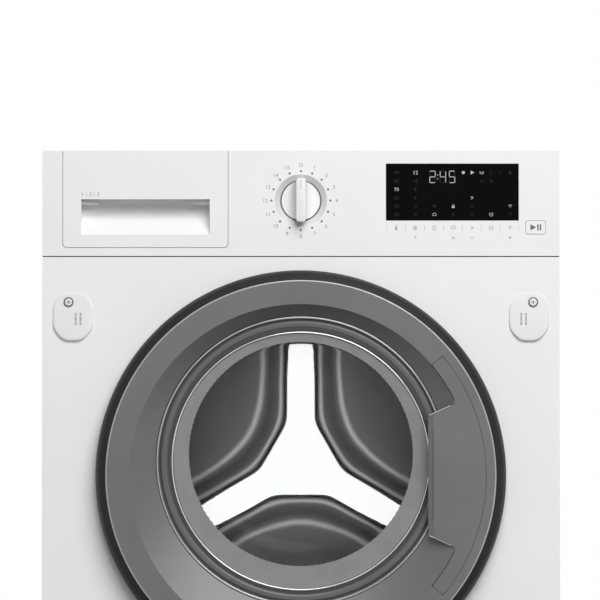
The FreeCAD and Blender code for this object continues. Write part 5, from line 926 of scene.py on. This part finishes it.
def star_levels(x, z):
    """Height and polish_and_sheen of the pressing at a point; the second is partly real polish and partly
    painted highlight and shade.
    """
    distance = star_distance(x, z) / MM
    for before, after in zip(STAR_PROFILE, STAR_PROFILE[1:]):
        if distance <= after[0]:
            share = eased((distance - before[0]) / (after[0] - before[0]))
            return [a + (b - a) * share for a, b in zip(before[1:], after[1:])]


def star_ring(radius):
    """The sheet's points at a radius."""
    edge = min(1.0, (BACK_R - radius) / BACK_RIM)
    hollow = STAR_HOLLOW * (1 - (radius / BACK_R) ** 2)
    points = []
    for angle in turns(STAR_STEPS):
        x, z = polar(0, 0, radius, angle)
        rise = star_levels(x, z)[0] * edge * STAR_HEIGHT
        points.append((x, BACK_END - BACK_SHEET - rise + hollow, DRUM_Z + z))
    return points


star_shape = skin([star_ring(BACK_R * ring / STAR_RINGS) for ring in range(STAR_RINGS + 1)])
star = piece("drum_star", star_shape, "star_steel", "drum", "drum_back", angle=70)
# polish_and_sheen darkens the petals as painted shade and lightens the ridge crests as painted highlights;
# on the star's face it is partly real polish.
polish_and_sheen = star.data.attributes.new("polish_and_sheen", "FLOAT", "POINT")
for vertex in star.data.vertices:
    polish_and_sheen.data[vertex.index].value = star_levels(vertex.co.x, vertex.co.z - DRUM_Z)[1]

# Drum can: rolled neck and shoulder, and rows of holes drawn as dark discs of painted shade
DRUM_FRONT, DRUM_END = depth_span("drum_shell")
DRUM_R = half_width("drum_shell")
DRUM_SHEET = 1.2 * MM
DRUM_MOUTH = 158 * MM
DRUM_NECK = 9 * MM
SHOULDER = 8 * MM
can_outline = rounded([
    (DRUM_MOUTH, DRUM_FRONT, 2 * MM),
    (DRUM_R - SHOULDER, DRUM_FRONT, 5 * MM),
    (DRUM_R, DRUM_FRONT + SHOULDER, 5 * MM),
    (DRUM_R, DRUM_END, 0),
    (DRUM_R - DRUM_SHEET, DRUM_END, 0),
    (DRUM_R - DRUM_SHEET, DRUM_FRONT + SHOULDER, 4 * MM),
    (DRUM_R - SHOULDER, DRUM_FRONT + DRUM_SHEET, 4 * MM),
    (DRUM_MOUTH + DRUM_SHEET, DRUM_FRONT + DRUM_SHEET, 1 * MM),
    (DRUM_MOUTH + DRUM_SHEET, DRUM_FRONT + DRUM_NECK, 0),
    (DRUM_MOUTH, DRUM_FRONT + DRUM_NECK, 0),
])
piece("drum_can", lathe(can_outline, DRUM_Z, RING_STEPS), "stainless", body="drum", node="drum_shell")

HOLE_R = 1.6 * MM
HOLE_SIDES = 8
HOLE_ROWS = 18
HOLES_PER_ROW = 96
HOLE_LIFT = 0.15 * MM


def hole_discs():
    """Dark discs painted as the shade in the drum's holes, on its inside, each row shifted by half a step.
    """
    verts = []
    faces = []
    reach = DRUM_R - DRUM_SHEET - HOLE_LIFT
    room = DRUM_END - DRUM_FRONT - 3 * SHOULDER
    for row in range(HOLE_ROWS):
        y = DRUM_FRONT + 2 * SHOULDER + room * row / (HOLE_ROWS - 1)
        for hole in range(HOLES_PER_ROW):
            angle = TURN * (hole + row % 2 / 2) / HOLES_PER_ROW
            first = len(verts)
            for turn in turns(HOLE_SIDES):
                x, z = polar(0, DRUM_Z, reach, angle + HOLE_R * math.cos(turn) / reach)
                verts.append((x, y + HOLE_R * math.sin(turn), z))
            faces.append(tuple(range(first, first + HOLE_SIDES)))
    return verts, faces


# The holes' shade is painted in black_plastic.
piece("drum_hole_shade", hole_discs(), "black_plastic", "drum")

# Gasket: a bellows that bends between the cabinet and the tub, with a slot for the front panel's edge
PORTHOLE = 172 * MM
PANEL_SLOT = 1.1 * MM
SLOT_WALL = 0.1 * MM
GASKET_WALL = 3.5 * MM
GASKET_LIP = 144.6 * MM
COLLAR = 167 * MM
GASKET_FRONT, GASKET_END = depth_span("gasket")
COLLAR_Y = GASKET_END - 10 * MM
FOLD = PORTHOLE - 17 * MM
PITCH = 8 * MM
BEAD = half_width("gasket")
LIP_BACK = PANEL_Y + 8 * MM
GASKET_STEPS = 200
gasket_outline = rounded([
    (BEAD, GASKET_FRONT, 0.6 * MM),
    (PORTHOLE - GASKET_WALL, GASKET_FRONT, 2 * MM),
    (GASKET_LIP + GASKET_WALL, PANEL_Y, 3 * MM),
    (GASKET_LIP, PANEL_Y + GASKET_WALL / 2, 1.6 * MM),
    (GASKET_LIP, LIP_BACK - GASKET_WALL / 2, 1.6 * MM),
    (GASKET_LIP + GASKET_WALL, LIP_BACK, 3 * MM),
    (PORTHOLE - GASKET_WALL, LIP_BACK - GASKET_WALL / 2, 2 * MM),
    (PORTHOLE - GASKET_WALL, COLLAR_Y - 2 * PITCH, 3 * MM),
    (FOLD, COLLAR_Y - PITCH, 2 * MM),
    (FOLD, COLLAR_Y - PITCH / 2, 2 * MM),
    (COLLAR, COLLAR_Y, 2 * MM),
    (COLLAR, GASKET_END, 0),
    (COLLAR + GASKET_WALL, GASKET_END, 0.6 * MM),
    (COLLAR + GASKET_WALL, COLLAR_Y - GASKET_WALL / 2, 2 * MM),
    (FOLD + GASKET_WALL, COLLAR_Y - PITCH / 2 - GASKET_WALL / 2, 1 * MM),
    (PORTHOLE, COLLAR_Y - 2 * PITCH + GASKET_WALL / 2, 2 * MM),
    (PORTHOLE, PANEL_Y + PANEL_SLOT + SLOT_WALL, 0),
    (BEAD, PANEL_Y + PANEL_SLOT + SLOT_WALL, 0),
    (BEAD, PANEL_Y + PANEL_SLOT, 0),
    (PORTHOLE - SLOT_WALL, PANEL_Y + PANEL_SLOT, 0),
    (PORTHOLE - SLOT_WALL, PANEL_Y - SLOT_WALL, 0),
    (BEAD, PANEL_Y - SLOT_WALL, 0),
])
gasket = piece("gasket_bellows", lathe(gasket_outline, DRUM_Z, GASKET_STEPS), "rubber_grey", body=None)
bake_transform(gasket)
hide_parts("gasket")

# Suspension springs: wound wire between the hangers and the tub's lugs
COILS = 19
COIL_POINTS = 20
WIRE_SIDES = 8


def coil(x, y, low, high):
    points = []
    for step in range(COILS * COIL_POINTS + 1):
        share = step / (COILS * COIL_POINTS)
        height = low + WIRE_R + (high - low - 2 * WIRE_R) * share
        points.append(Vector((*polar(x, y, COIL_R, TURN * COILS * share), height)))
    return points


for side_name, side in SIDES:
    x = side * SPRING_X
    wire = sweep(coil(x, SPRING_Y, SPRING_LOW.z, SPRING_HIGH.z), WIRE_R, WIRE_SIDES)
    spring = piece(f"spring_{side_name}", wire, "steel", body=None)
    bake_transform(spring)
    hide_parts("suspension_springs")

# Ribbed hoses between the cabinet and the tub
RIB_PITCH = 6 * MM
RIB_DEPTH = 1.4 * MM
HOSE_STEPS = 40
HOSE_SIDES = 24


def hose_rib(length):
    return RIB_DEPTH * (0.5 - 0.5 * math.cos(TURN * length / RIB_PITCH))


def hose(name, node, route, radius):
    shape = sweep(spline(route, HOSE_STEPS), radius, HOSE_SIDES, hose_rib)
    obj = piece(name, shape, "hose_black", body=None, angle=80)
    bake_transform(obj)
    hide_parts(node)


low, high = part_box("fill_hose")
fill_r = (high.x - low.x) / 2
fill_route = [(low.x + fill_r, low.y + fill_r, z) for z in (high.z, (low.z + high.z) / 2, low.z)]
hose("fill_bellows", "fill_hose", fill_route, fill_r)
low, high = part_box("sump_hose")
sump_r = (high.y - low.y) / 2
sump_x, sump_y, sump_z = low + Vector((sump_r, sump_r, sump_r))
sump_bend = 3 * sump_r
sump_route = [(x, sump_y, sump_z) for x in (high.x, sump_x + sump_bend, sump_x)]
sump_route += [(sump_x, sump_y, z) for z in (sump_z + sump_bend, high.z)]
hose("sump_bellows", "sump_hose", sump_route, sump_r)

# Programme knob: a disc sunk in its dish, with concave flanks up to the grip
KNOB_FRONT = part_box("programme_knob")[0].y
KNOB_STEPS = 144
DISC_R = 22.3 * MM
DISC_Y = PANEL_Y + 3.4 * MM
DISC_RINGS = 36
DISH_R = 23.4 * MM
DISH_EDGE = 30.5 * MM
DISH_DEPTH = 4 * MM
DISH_FLOOR = PANEL_Y + DISH_DEPTH
DISH_SHADE_SPAN = (0.35 * MM, 3.7 * MM)
GRIP_HALF = 5.65 * MM
GRIP_LONG = 25.3 * MM
GRIP_ROUND = 4.5 * MM
FLANK = 9.5 * MM
FLANK_LIMIT = 0.99
# Distance behind the grip's front and inset of its outline there, in millimetres
GRIP_EDGE = [(0, 1.5), (0.15, 0.85), (0.45, 0.4), (0.9, 0.12), (1.5, 0)]


def flank_rise(x):
    """Height of the disc's concave flank beside the grip."""
    reach = min(max(GRIP_HALF + FLANK - abs(x), 0.0), FLANK * FLANK_LIMIT)
    return FLANK - math.sqrt(FLANK * FLANK - reach * reach)


def knob_disc():
    levels = []
    for ring in range(1, DISC_RINGS + 1):
        points = [polar(0, 0, DISC_R * ring / DISC_RINGS, turn) for turn in turns(KNOB_STEPS)]
        levels.append([(x, DISC_Y - flank_rise(x), KNOB_Z + z) for x, z in points])
    levels.append([(x, DISH_FLOOR - SKIN, z) for x, y, z in levels[-1]])
    return loft(levels)


def grip_outline(inset, y):
    outline = rounded_box(GRIP_HALF - inset, GRIP_LONG - inset, GRIP_ROUND - inset)
    return [(x, y, KNOB_Z + z) for x, z in outline]


def liner_point(depth, lift):
    """Point at a depth in the dish, lifted off its cone."""
    reach = DISH_EDGE + (DISH_R - DISH_EDGE) * depth / DISH_DEPTH
    return (reach - lift / 2, PANEL_Y + depth - lift)


grip_levels = [grip_outline(inset * MM, KNOB_FRONT + behind * MM) for behind, inset in GRIP_EDGE]
grip_levels.append(grip_outline(0, DISC_Y))
for knob_name, shape in (("knob_disc", knob_disc()), ("knob_grip", loft(grip_levels))):
    piece(knob_name, shape, "white_plastic", body="programme_knob", node="programme_knob")
# A dark ring painted as the shade in the gap between the knob's disc and its dish.
gap_near, gap_far = DISC_R - SKIN, DISH_R + SKIN
gap_front, gap_floor = DISC_Y - SKIN / 2, DISH_FLOOR - SKIN
knob_gap_shade = [(gap_near, gap_front), (gap_far, gap_front), (gap_far, gap_floor), (gap_near, gap_floor)]
piece("knob_gap_shade", lathe(knob_gap_shade, KNOB_Z, KNOB_STEPS), "dark_ink_and_shade", "programme_knob")
# A grey ring on the dish's cone, painted as the shade in the knob's dish.
dish_shade_ring = [liner_point(depth, SKIN) for depth in DISH_SHADE_SPAN]
dish_shade_ring += [liner_point(depth, 0) for depth in DISH_SHADE_SPAN[::-1]]
piece("dial_dish_shade", lathe(dish_shade_ring, KNOB_Z, KNOB_STEPS), "dial_dish_shade")


# Furniture hinge covers: soft-edged plates, thicker below
def four_places(node, inset, above, below):
    """Places in the corners of a node's box, by name."""
    low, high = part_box(node)
    columns = (("left", low.x + inset), ("right", high.x - inset))
    rows = (("lower", low.z + above), ("upper", high.z - below))
    return {f"{row}_{column}": (x, z) for row, z in rows for column, x in columns}


COVER_HALF = 23 * MM
COVER_TALL = 56 * MM
COVER_FOOT = 10.5 * MM
COVER_TOP = 15 * MM
COVER_BEVEL = 14 * MM
COVER_ROUND = 7 * MM
COVER_THICK = 3.6 * MM
COVER_THIN = 0.25 * MM
COVER_PLACES = four_places("hinge_covers", COVER_HALF, 0, COVER_TALL)
# Inset of the cover's outline in millimetres at shares of its thickness
COVER_EDGE = [(0, 0), (0, 0.3), (0.5, 0.62), (1.3, 0.84), (2.4, 0.95), (4, 1)]


def cover_face(height):
    """Y of a cover's face at a height above its lower edge."""
    return PANEL_Y - COVER_THICK + (COVER_THICK - COVER_THIN) * height / COVER_TALL


def cover_outline(x, z, inset, share):
    half, tall = COVER_HALF - inset, COVER_TALL - inset
    right = [(COVER_FOOT, inset), (half, COVER_BEVEL), (half, COVER_TALL - COVER_BEVEL), (COVER_TOP, tall)]
    corners = [(-COVER_FOOT, inset)] + right + [(-a, b) for a, b in right[:0:-1]]
    outline = rounded([(a, b, COVER_ROUND) for a, b in corners])
    return [(x + a, PANEL_Y + share * (cover_face(b) - PANEL_Y), z + b) for a, b in outline]


for place_name, (x, z) in COVER_PLACES.items():
    cover = loft([cover_outline(x, z, inset * MM, share) for inset, share in COVER_EDGE])
    piece(f"cover_{place_name}", cover, "cover_plastic", node="hinge_covers", angle=40)

# Cross-recessed screws in the covers, each in a dark ring painted as the shade of its sink
SCREW_LOW, SCREW_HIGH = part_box("panel_screws")
HEAD_R = 4.2 * MM
HEAD_THICK = 1.2 * MM
SHANK_R = 2 * MM
SINK_R = 5.7 * MM
SINK_Y = SCREW_LOW.y + HEAD_THICK
SINK_FRONT = SINK_Y - HEAD_THICK / 2
SCREW_STEPS = 48
SCREW_PLACES = four_places("panel_screws", HEAD_R, HEAD_R, HEAD_R)
screw_outline = rounded([
    (0, SCREW_LOW.y, 0),
    (HEAD_R, SCREW_LOW.y, 0.5 * MM),
    (HEAD_R, SINK_Y, 0),
    (SHANK_R, SINK_Y, 0),
    (SHANK_R, SCREW_HIGH.y, 0.5 * MM),
    (0, SCREW_HIGH.y, 0),
])
sink_shade_outline = [(HEAD_R - SKIN, SINK_FRONT), (SINK_R, SINK_FRONT), (SINK_R, SINK_Y), (HEAD_R - SKIN, SINK_Y)]
for place_name, (x, z) in SCREW_PLACES.items():
    screw = lathe(screw_outline, z, SCREW_STEPS, centre_x=x)
    piece(f"cover_screw_{place_name}", screw, "screw_plate", node="panel_screws")
    sink_shade = lathe(sink_shade_outline, z, SCREW_STEPS, centre_x=x)
    piece(f"cover_sink_shade_{place_name}", sink_shade, "dark_ink_and_shade")


# Printed marks and marks of painted shade: flat shapes of (x, z) points on a face
def disc(x, z, radius, sides=20):
    return [[polar(x, z, radius, turn) for turn in turns(sides)]]


def arc(x, z, radius, width, start=0, end=360, steps=24):
    """Ring sector between two angles in degrees, counted from +X towards +Z."""
    near, far = radius - width / 2, radius + width / 2
    shapes = []
    for k in range(steps):
        first = math.radians(start + (end - start) * k / steps)
        second = math.radians(start + (end - start) * (k + 1) / steps)
        corners = ((near, first), (far, first), (far, second), (near, second))
        shapes.append([polar(x, z, reach, turn) for reach, turn in corners])
    return shapes


def bar(x, z, width, height):
    left, right = x - width / 2, x + width / 2
    low, high = z - height / 2, z + height / 2
    return [[(left, low), (right, low), (right, high), (left, high)]]


def stroke(points, width):
    """Bars between points, joined by discs."""
    shapes = []
    for start, end in zip(points, points[1:]):
        first, last = Vector(start), Vector(end)
        across = Vector((first.y - last.y, last.x - first.x)).normalized() * width / 2
        corners = (first - across, last - across, last + across, first + across)
        shapes.append([tuple(corner) for corner in corners])
    for point in points:
        shapes += disc(*point, width / 2, 8)
    return shapes


CAP_SHARE = 0.7


def numeral(words, x, z, height):
    """Plain figures, centred on a point."""
    curve = bpy.data.curves.new("figures", "FONT")
    curve.body = words
    curve.size = height / CAP_SHARE
    curve.align_x = "CENTER"
    points, faces = curve_mesh(curve)
    return [[(x + points[k].x, z - height / 2 + points[k].y) for k in face] for face in faces]


MARK_LIFT = 0.08 * MM


def printed(name, shapes, face_y, look, body="cabinet"):
    """One thin piece of flat shapes on a face: print, and in some pieces painted shade."""
    work = bmesh.new()
    for shape in shapes:
        area = sum(a[0] * b[1] - b[0] * a[1] for a, b in zip(shape, shape[1:] + shape[:1]))
        ordered = shape if area > 0 else shape[::-1]
        work.faces.new([work.verts.new((x, face_y, z)) for x, z in ordered])
    bmesh.ops.remove_doubles(work, verts=work.verts, dist=MERGE)
    lifted = bmesh.ops.extrude_face_region(work, geom=work.faces[:], use_keep_orig=True)["geom"]
    raised = [part for part in lifted if isinstance(part, bmesh.types.BMVert)]
    bmesh.ops.translate(work, vec=(0, -MARK_LIFT, 0), verts=raised)
    bmesh.ops.recalc_face_normals(work, faces=work.faces)
    mesh = bpy.data.meshes.new(name)
    work.to_mesh(mesh)
    work.free()
    placed(name, mesh, look, body)


# Pictograms, each drawn about a point in a square of two units
LINE = 0.18
BOLD = 0.24
DROP = [(0, 1), (0.35, 0.35), (0.6, -0.2), (0.45, -0.75), (0, -0.95)]
DROP += [(-a, b) for a, b in DROP[3::-1]]
SPIRAL = [polar(0, 0, 0.045 * k, 0.55 * k) for k in range(2, 22)]
PETALS = [disc(*polar(0, 0, 0.5, turn), 0.28, 12)[0] for turn in turns(6)]
SIGNS = {
    "thermometer": disc(-0.2, -0.6, 0.42) + bar(-0.2, 0.2, 0.34, 1.4)
    + bar(0.45, 0.6, 0.4, LINE) + bar(0.45, 0.1, 0.4, LINE),
    "spiral": stroke(SPIRAL, LINE),
    "drop": stroke(DROP, LINE),
    "cloud": arc(-0.45, -0.1, 0.42, LINE, 60, 290) + arc(0.15, 0.2, 0.5, LINE, -10, 170)
    + arc(0.6, -0.2, 0.32, LINE, -100, 90) + bar(0.08, -0.5, 1.1, LINE),
    "leaf": arc(-0.5, -0.3, 0.9, LINE, 0, 70) + arc(0.35, 0.55, 0.9, LINE, 180, 260)
    + stroke([(-0.4, -0.9), (0.3, 0.3)], LINE),
    "clock": arc(0, 0, 0.8, LINE, 110, 430) + stroke([(0, 0.45), (0, 0), (0.35, -0.2)], LINE),
    "waves": disc(0, -0.6, 0.18, 12) + arc(0, -0.6, 0.65, LINE, 45, 135) + arc(0, -0.6, 1.15, LINE, 45, 135),
    "padlock": arc(0, 0.2, 0.45, LINE, 0, 180) + bar(-0.45, 0.05, LINE, 0.4) + bar(0.45, 0.05, LINE, 0.4)
    + bar(0, -0.45, 1.3, 0.8),
    "flower": PETALS + disc(0, 0, 0.22, 12),
    "snow": stroke([(0, -0.9), (0, 0.9)], LINE) + stroke([(-0.8, -0.45), (0.8, 0.45)], LINE)
    + stroke([(-0.8, 0.45), (0.8, -0.45)], LINE),
    "play": [[(-0.7, -0.9), (0.9, 0), (-0.7, 0.9)]],
    "basin": stroke([(-0.9, 0.5), (-0.65, -0.6), (0.65, -0.6), (0.9, 0.5)], LINE)
    + stroke([(-0.6, 0.15), (0.6, 0.15)], LINE),
    "power": arc(0, 0, 0.85, BOLD, 125, 415) + bar(0, 0.55, BOLD, 0.9),
}


def pictogram(sign, x, z, size):
    return [[(x + a * size, z + b * size) for a, b in shape] for shape in SIGNS[sign]]


# Dial: sixteen dots, plain figures and a power sign at the top
DIAL_STEPS = 16
DOT_CIRCLE = 33.9 * MM
DOT_R = 1.25 * MM
FIGURE_CIRCLE = 41.2 * MM
FIGURE_HEIGHT = 4.3 * MM
POWER_SIZE = 2.5 * MM
dots = []
figures = pictogram("power", 0, KNOB_Z + FIGURE_CIRCLE, POWER_SIZE)
for mark in range(DIAL_STEPS):
    angle = math.pi / 2 - TURN * mark / DIAL_STEPS
    dots += disc(*polar(0, KNOB_Z, DOT_CIRCLE, angle), DOT_R)
    if mark:
        figures += numeral(str(mark), *polar(0, KNOB_Z, FIGURE_CIRCLE, angle), FIGURE_HEIGHT)
printed("dial_dots", dots, FASCIA_Y, "dark_ink_and_shade")
printed("dial_figures", figures, FASCIA_Y, "grey_ink_and_shade")

# Pointer on the grip, a pale strip painted as the shade of its groove, and crosses on the cover screws,
# painted as the shade in their cross recesses
POINTER = (0.8 * MM, 11 * MM)
POINTER_Z = KNOB_Z + GRIP_LONG - POINTER[1] / 2 - GRIP_EDGE[0][1] * MM
CROSS_LONG = 4.6 * MM
CROSS_WIDE = 1 * MM
CROSS_ARM = (CROSS_LONG - CROSS_WIDE) / 2
CROSS_RISE = (CROSS_WIDE + CROSS_ARM) / 2
printed("knob_pointer", bar(0, POINTER_Z, *POINTER), KNOB_FRONT, "pale_ink_and_shade", body="programme_knob")
crosses = []
for x, z in SCREW_PLACES.values():
    crosses += bar(x, z, CROSS_LONG, CROSS_WIDE)
    for side in (1, -1):
        crosses += bar(x, z + side * CROSS_RISE, CROSS_WIDE, CROSS_ARM)
printed("screw_cross_shade", crosses, SCREW_LOW.y, "grey_ink_and_shade")

# Two closed slots on each hinge cover, with three pins in each, drawn as pale plates and grey dots of
# painted shade
SLOT_HIGH = 14 * MM
SLOT_WIDE = 2.3 * MM
SLOT_Z = 26 * MM
SLOT_SHIFTS = (3.5 * MM, 9 * MM)
SLOT_LIFT = 0.06 * MM
PIN_R = 0.8 * MM
PIN_RISES = (-0.42 * SLOT_HIGH, 0, 0.42 * SLOT_HIGH)


def cover_mark(name, shapes, x, z, lift, look):
    """A thin plate on a cover's face."""
    levels = [[(x + a, cover_face(b) - rise, z + b) for a, b in shapes[0]] for rise in (0, lift)]
    piece(name, loft(levels), look)


for place_name, (x, z) in COVER_PLACES.items():
    inward = -1 if x > 0 else 1
    for number, shift in enumerate(SLOT_SHIFTS):
        slot_x = inward * shift
        slot_shade_plate = bar(slot_x, SLOT_Z, SLOT_WIDE, SLOT_HIGH)
        cover_mark(f"slot_{place_name}_{number}", slot_shade_plate, x, z, SLOT_LIFT, "pale_ink_and_shade")
        for pin, rise in enumerate(PIN_RISES):
            pin_shade_disc = disc(slot_x, SLOT_Z + rise, PIN_R, 12)
            cover_mark(f"pin_{place_name}_{number}_{pin}", pin_shade_disc, x, z, 2 * SLOT_LIFT, "grey_ink_and_shade")

# Detergent drawer: plain figures for its three rooms
DRAWER_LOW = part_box("drawer_front")[0]
ROOM_X = DRAWER_LOW.x + 22.5 * MM
ROOM_Z = TOP_Z - 50 * MM
ROOM_STEP = 9 * MM
ROOM_LINE = (0.4 * MM, 5 * MM)
ROOMS = 3
rooms = []
for room in range(ROOMS):
    rooms += numeral(str(room + 1), ROOM_X + ROOM_STEP * room, ROOM_Z, FIGURE_HEIGHT)
    if room:
        rooms += bar(ROOM_X + ROOM_STEP * (room - 0.5), ROOM_Z, *ROOM_LINE)
printed("room_figures", rooms, DRAWER_LOW.y, "grey_ink_and_shade", body="detergent_drawer")

# Display: columns of figures and signs, some of them lit
WINDOW_LOW, WINDOW_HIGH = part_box("display_window")
COLUMNS = 7
COLUMN_STEP = (WINDOW_HIGH.x - WINDOW_LOW.x) / COLUMNS
COLUMN_START = WINDOW_LOW.x + 0.55 * COLUMN_STEP
ROW_STEP = 9.65 * MM
ROW_START = WINDOW_HIGH.z - 10.2 * MM
SIGN_SIZE = 2.5 * MM
LIT_HEIGHT = 4.4 * MM
PLAIN_HEIGHT = 4 * MM
LIT_ROW = 2
DEGREES = (90, 80, 70, 60, 50, 40)
SPINS = (12, 10, 8, 6)
# Sign, column and row
LIT_SIGNS = [
    ("flower", 3.53, 0), ("play", 4, 0), ("basin", 4.5, 0), ("leaf", 4, 3),
    ("padlock", 3, 4), ("waves", 6, 4), ("cloud", 2, 5), ("clock", 5, 5),
]
GHOST_SIGNS = [
    ("drop", 5, 0), ("spiral", 5.5, 0), ("flower", 6, 0), ("basin", 4.5, 1),
    ("snow", 5, 1), ("drop", 1, 4), ("snow", 1, 5), ("flower", 2, 4),
    ("thermometer", 3, 5), ("clock", 4, 4), ("spiral", 4, 5), ("drop", 6, 5),
]


def cell(column, row):
    return COLUMN_START + COLUMN_STEP * column, ROW_START - ROW_STEP * row


lit = numeral(str(SPINS[0]), *cell(1, 0), LIT_HEIGHT)
ghost = []
for row, degree in enumerate(DEGREES):
    degrees = numeral(str(degree), *cell(0, row), PLAIN_HEIGHT)
    if row == LIT_ROW:
        lit += degrees
    else:
        ghost += degrees
for row, spin in enumerate(SPINS[1:], 1):
    ghost += numeral(str(spin), *cell(1, row), PLAIN_HEIGHT)
for signs, shapes in ((LIT_SIGNS, lit), (GHOST_SIGNS, ghost)):
    for sign, column, row in signs:
        shapes += pictogram(sign, *cell(column, row), SIGN_SIZE)

# Display: a time in seven-segment figures
SEGMENTS = {
    "a": ((-1, 2), (1, 2)), "b": ((1, 2), (1, 0)), "c": ((1, 0), (1, -2)), "d": ((1, -2), (-1, -2)),
    "e": ((-1, -2), (-1, 0)), "f": ((-1, 0), (-1, 2)), "g": ((-1, 0), (1, 0)),
}
FIGURES = {"2": "abged", "4": "fgbc", "5": "afgcd"}
TIME = (("2", 151.5 * MM), ("4", 163.5 * MM), ("5", 174 * MM))
COLON_X = 157.4 * MM
COLON_RISE = 2.2 * MM
COLON_R = 0.6 * MM
DIGIT_WIDE = 3.162 * MM
DIGIT_HIGH = 3.332 * MM
DIGIT_LINE = 0.85 * MM
DIGIT_SHARE = 0.82
DIGIT_Z = WINDOW_HIGH.z - 15.2 * MM
for figure, x in TIME:
    for letter, ends in SEGMENTS.items():
        line = [Vector((x + a * DIGIT_WIDE, DIGIT_Z + b * DIGIT_HIGH)) for a, b in ends]
        centre = (line[0] + line[1]) / 2
        segment = stroke([tuple(centre.lerp(end, DIGIT_SHARE)) for end in line], DIGIT_LINE)
        if letter in FIGURES[figure]:
            lit += segment
        else:
            ghost += segment
for rise in (-COLON_RISE, COLON_RISE):
    lit += disc(COLON_X, DIGIT_Z + rise, COLON_R, 10)
printed("display_lit", lit, WINDOW_LOW.y, "lit_segment")
printed("display_ghosts", ghost, WINDOW_LOW.y, "ghost_segment")

# Touch keys under the display
KEY_Z = TOP_Z - 88.7 * MM
KEY_EDGE = WINDOW_LOW.x + 1 * MM
KEY_STEP = 0.994 * COLUMN_STEP
KEY_LINE = (0.5 * MM, 7 * MM)
KEY_SIGNS = ("thermometer", "spiral", "drop", "cloud", "leaf", "clock", "waves")
KEY_SIZE = 2.9 * MM
SECOND_SIGNS = {1: "snow", 3: "padlock", 4: "basin", 6: "flower"}
SECOND_Z = KEY_Z - 11.2 * MM
SECOND_SIZE = 2.2 * MM
key_lines = []
for edge in range(COLUMNS + 1):
    key_lines += bar(KEY_EDGE + KEY_STEP * edge, KEY_Z, *KEY_LINE)
key_signs = []
for key, sign in enumerate(KEY_SIGNS):
    key_signs += pictogram(sign, cell(key, 0)[0], KEY_Z, KEY_SIZE)
second_signs = []
for key, sign in SECOND_SIGNS.items():
    second_signs += pictogram(sign, cell(key, 0)[0], SECOND_Z, SECOND_SIZE)
printed("key_lines", key_lines, FASCIA_Y, "pale_ink_and_shade")
printed("key_signs", key_signs, FASCIA_Y, "grey_ink_and_shade")
printed("second_signs", second_signs, FASCIA_Y, "pale_ink_and_shade")

# Start key: a triangle and two bars
BUTTON_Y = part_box("start_button")[0].y
PLAY_LEFT, PLAY_TIP = -6 * MM, 0.6 * MM
PLAY_HALF = 3.6 * MM
PAUSE_SHIFTS = (2.6 * MM, 5.6 * MM)
PAUSE_BAR = (1.7 * MM, 7 * MM)
button = middle("start_button")
triangle = ((PLAY_LEFT, -PLAY_HALF), (PLAY_TIP, 0), (PLAY_LEFT, PLAY_HALF))
start_marks = [[(button.x + a, button.z + b) for a, b in triangle]]
for shift in PAUSE_SHIFTS:
    start_marks += bar(button.x + shift, button.z, *PAUSE_BAR)
printed("start_marks", start_marks, BUTTON_Y, "dark_ink_and_shade", body="start_button")

# Pale floor
FLOOR_SIZE = 18
floor_corners = [(x, y, 0) for x, y in bar(0, 0, FLOOR_SIZE, FLOOR_SIZE)[0]]
floor = piece("floor", (floor_corners, [(0, 1, 2, 3)]), "floor", body=None)

# Studio: a dim sky that looks white, and two soft lamps
AMBIENT = 0.22
world = bpy.data.worlds.new("studio")
bpy.context.scene.world = world
world.use_nodes = True
sky = world.node_tree
ambient = sky.nodes["Background"]
feed(sky, ambient, {"Color": WHITE, "Strength": AMBIENT})
white = add(sky, "Background", {"Color": WHITE})
shaders = {1: ambient.outputs["Background"], 2: white.outputs["Background"]}
either = add(sky, "MixShader", {"Fac": seen_rays(sky), **shaders})
feed(sky, sky.nodes["World Output"], {"Surface": either.outputs["Shader"]})

LAMP_SIZE = 3


def lamp(name, place, target, power):
    data = bpy.data.lights.new(name, "AREA")
    data.shape = "DISK"
    data.size = LAMP_SIZE
    data.energy = power
    obj = bpy.data.objects.new(name, data)
    obj.location = place
    obj.rotation_euler = (Vector(target) - Vector(place)).to_track_quat("-Z", "Y").to_euler()
    bpy.context.scene.collection.objects.link(obj)


lamp("key", (0.8, -2.9, 2.9), (0, -0.2, 0.6), 139)
lamp("back_fill", (-1.8, 3.4, 2.6), (0, 0.2, 0.5), 70)

# The photograph shows the machine straight from the front, from the height of its glass
PHOTO_SCALE = 1.15 * MM
PHOTO_SIZE = 600
PHOTO_SHIFT = -1 * MM
AIM_HEIGHT = 648 * MM
EYE_HEIGHT = 430 * MM
EYE_DISTANCE = 6.0
SENSOR = 36
AIM = Vector((PHOTO_SHIFT, PANEL_Y, AIM_HEIGHT))
STAND = Vector((PHOTO_SHIFT, PANEL_Y - EYE_DISTANCE, EYE_HEIGHT))
camera_data = bpy.data.cameras.new("camera")
camera_data.sensor_width = SENSOR
camera_data.lens = SENSOR * (AIM - STAND).length / (PHOTO_SCALE * PHOTO_SIZE)
camera = bpy.data.objects.new("camera", camera_data)
camera.location = STAND
camera.rotation_euler = (AIM - STAND).to_track_quat("-Z", "Y").to_euler()
bpy.context.scene.collection.objects.link(camera)
bpy.context.scene.camera = camera
bpy.context.scene.view_settings.view_transform = "Standard"
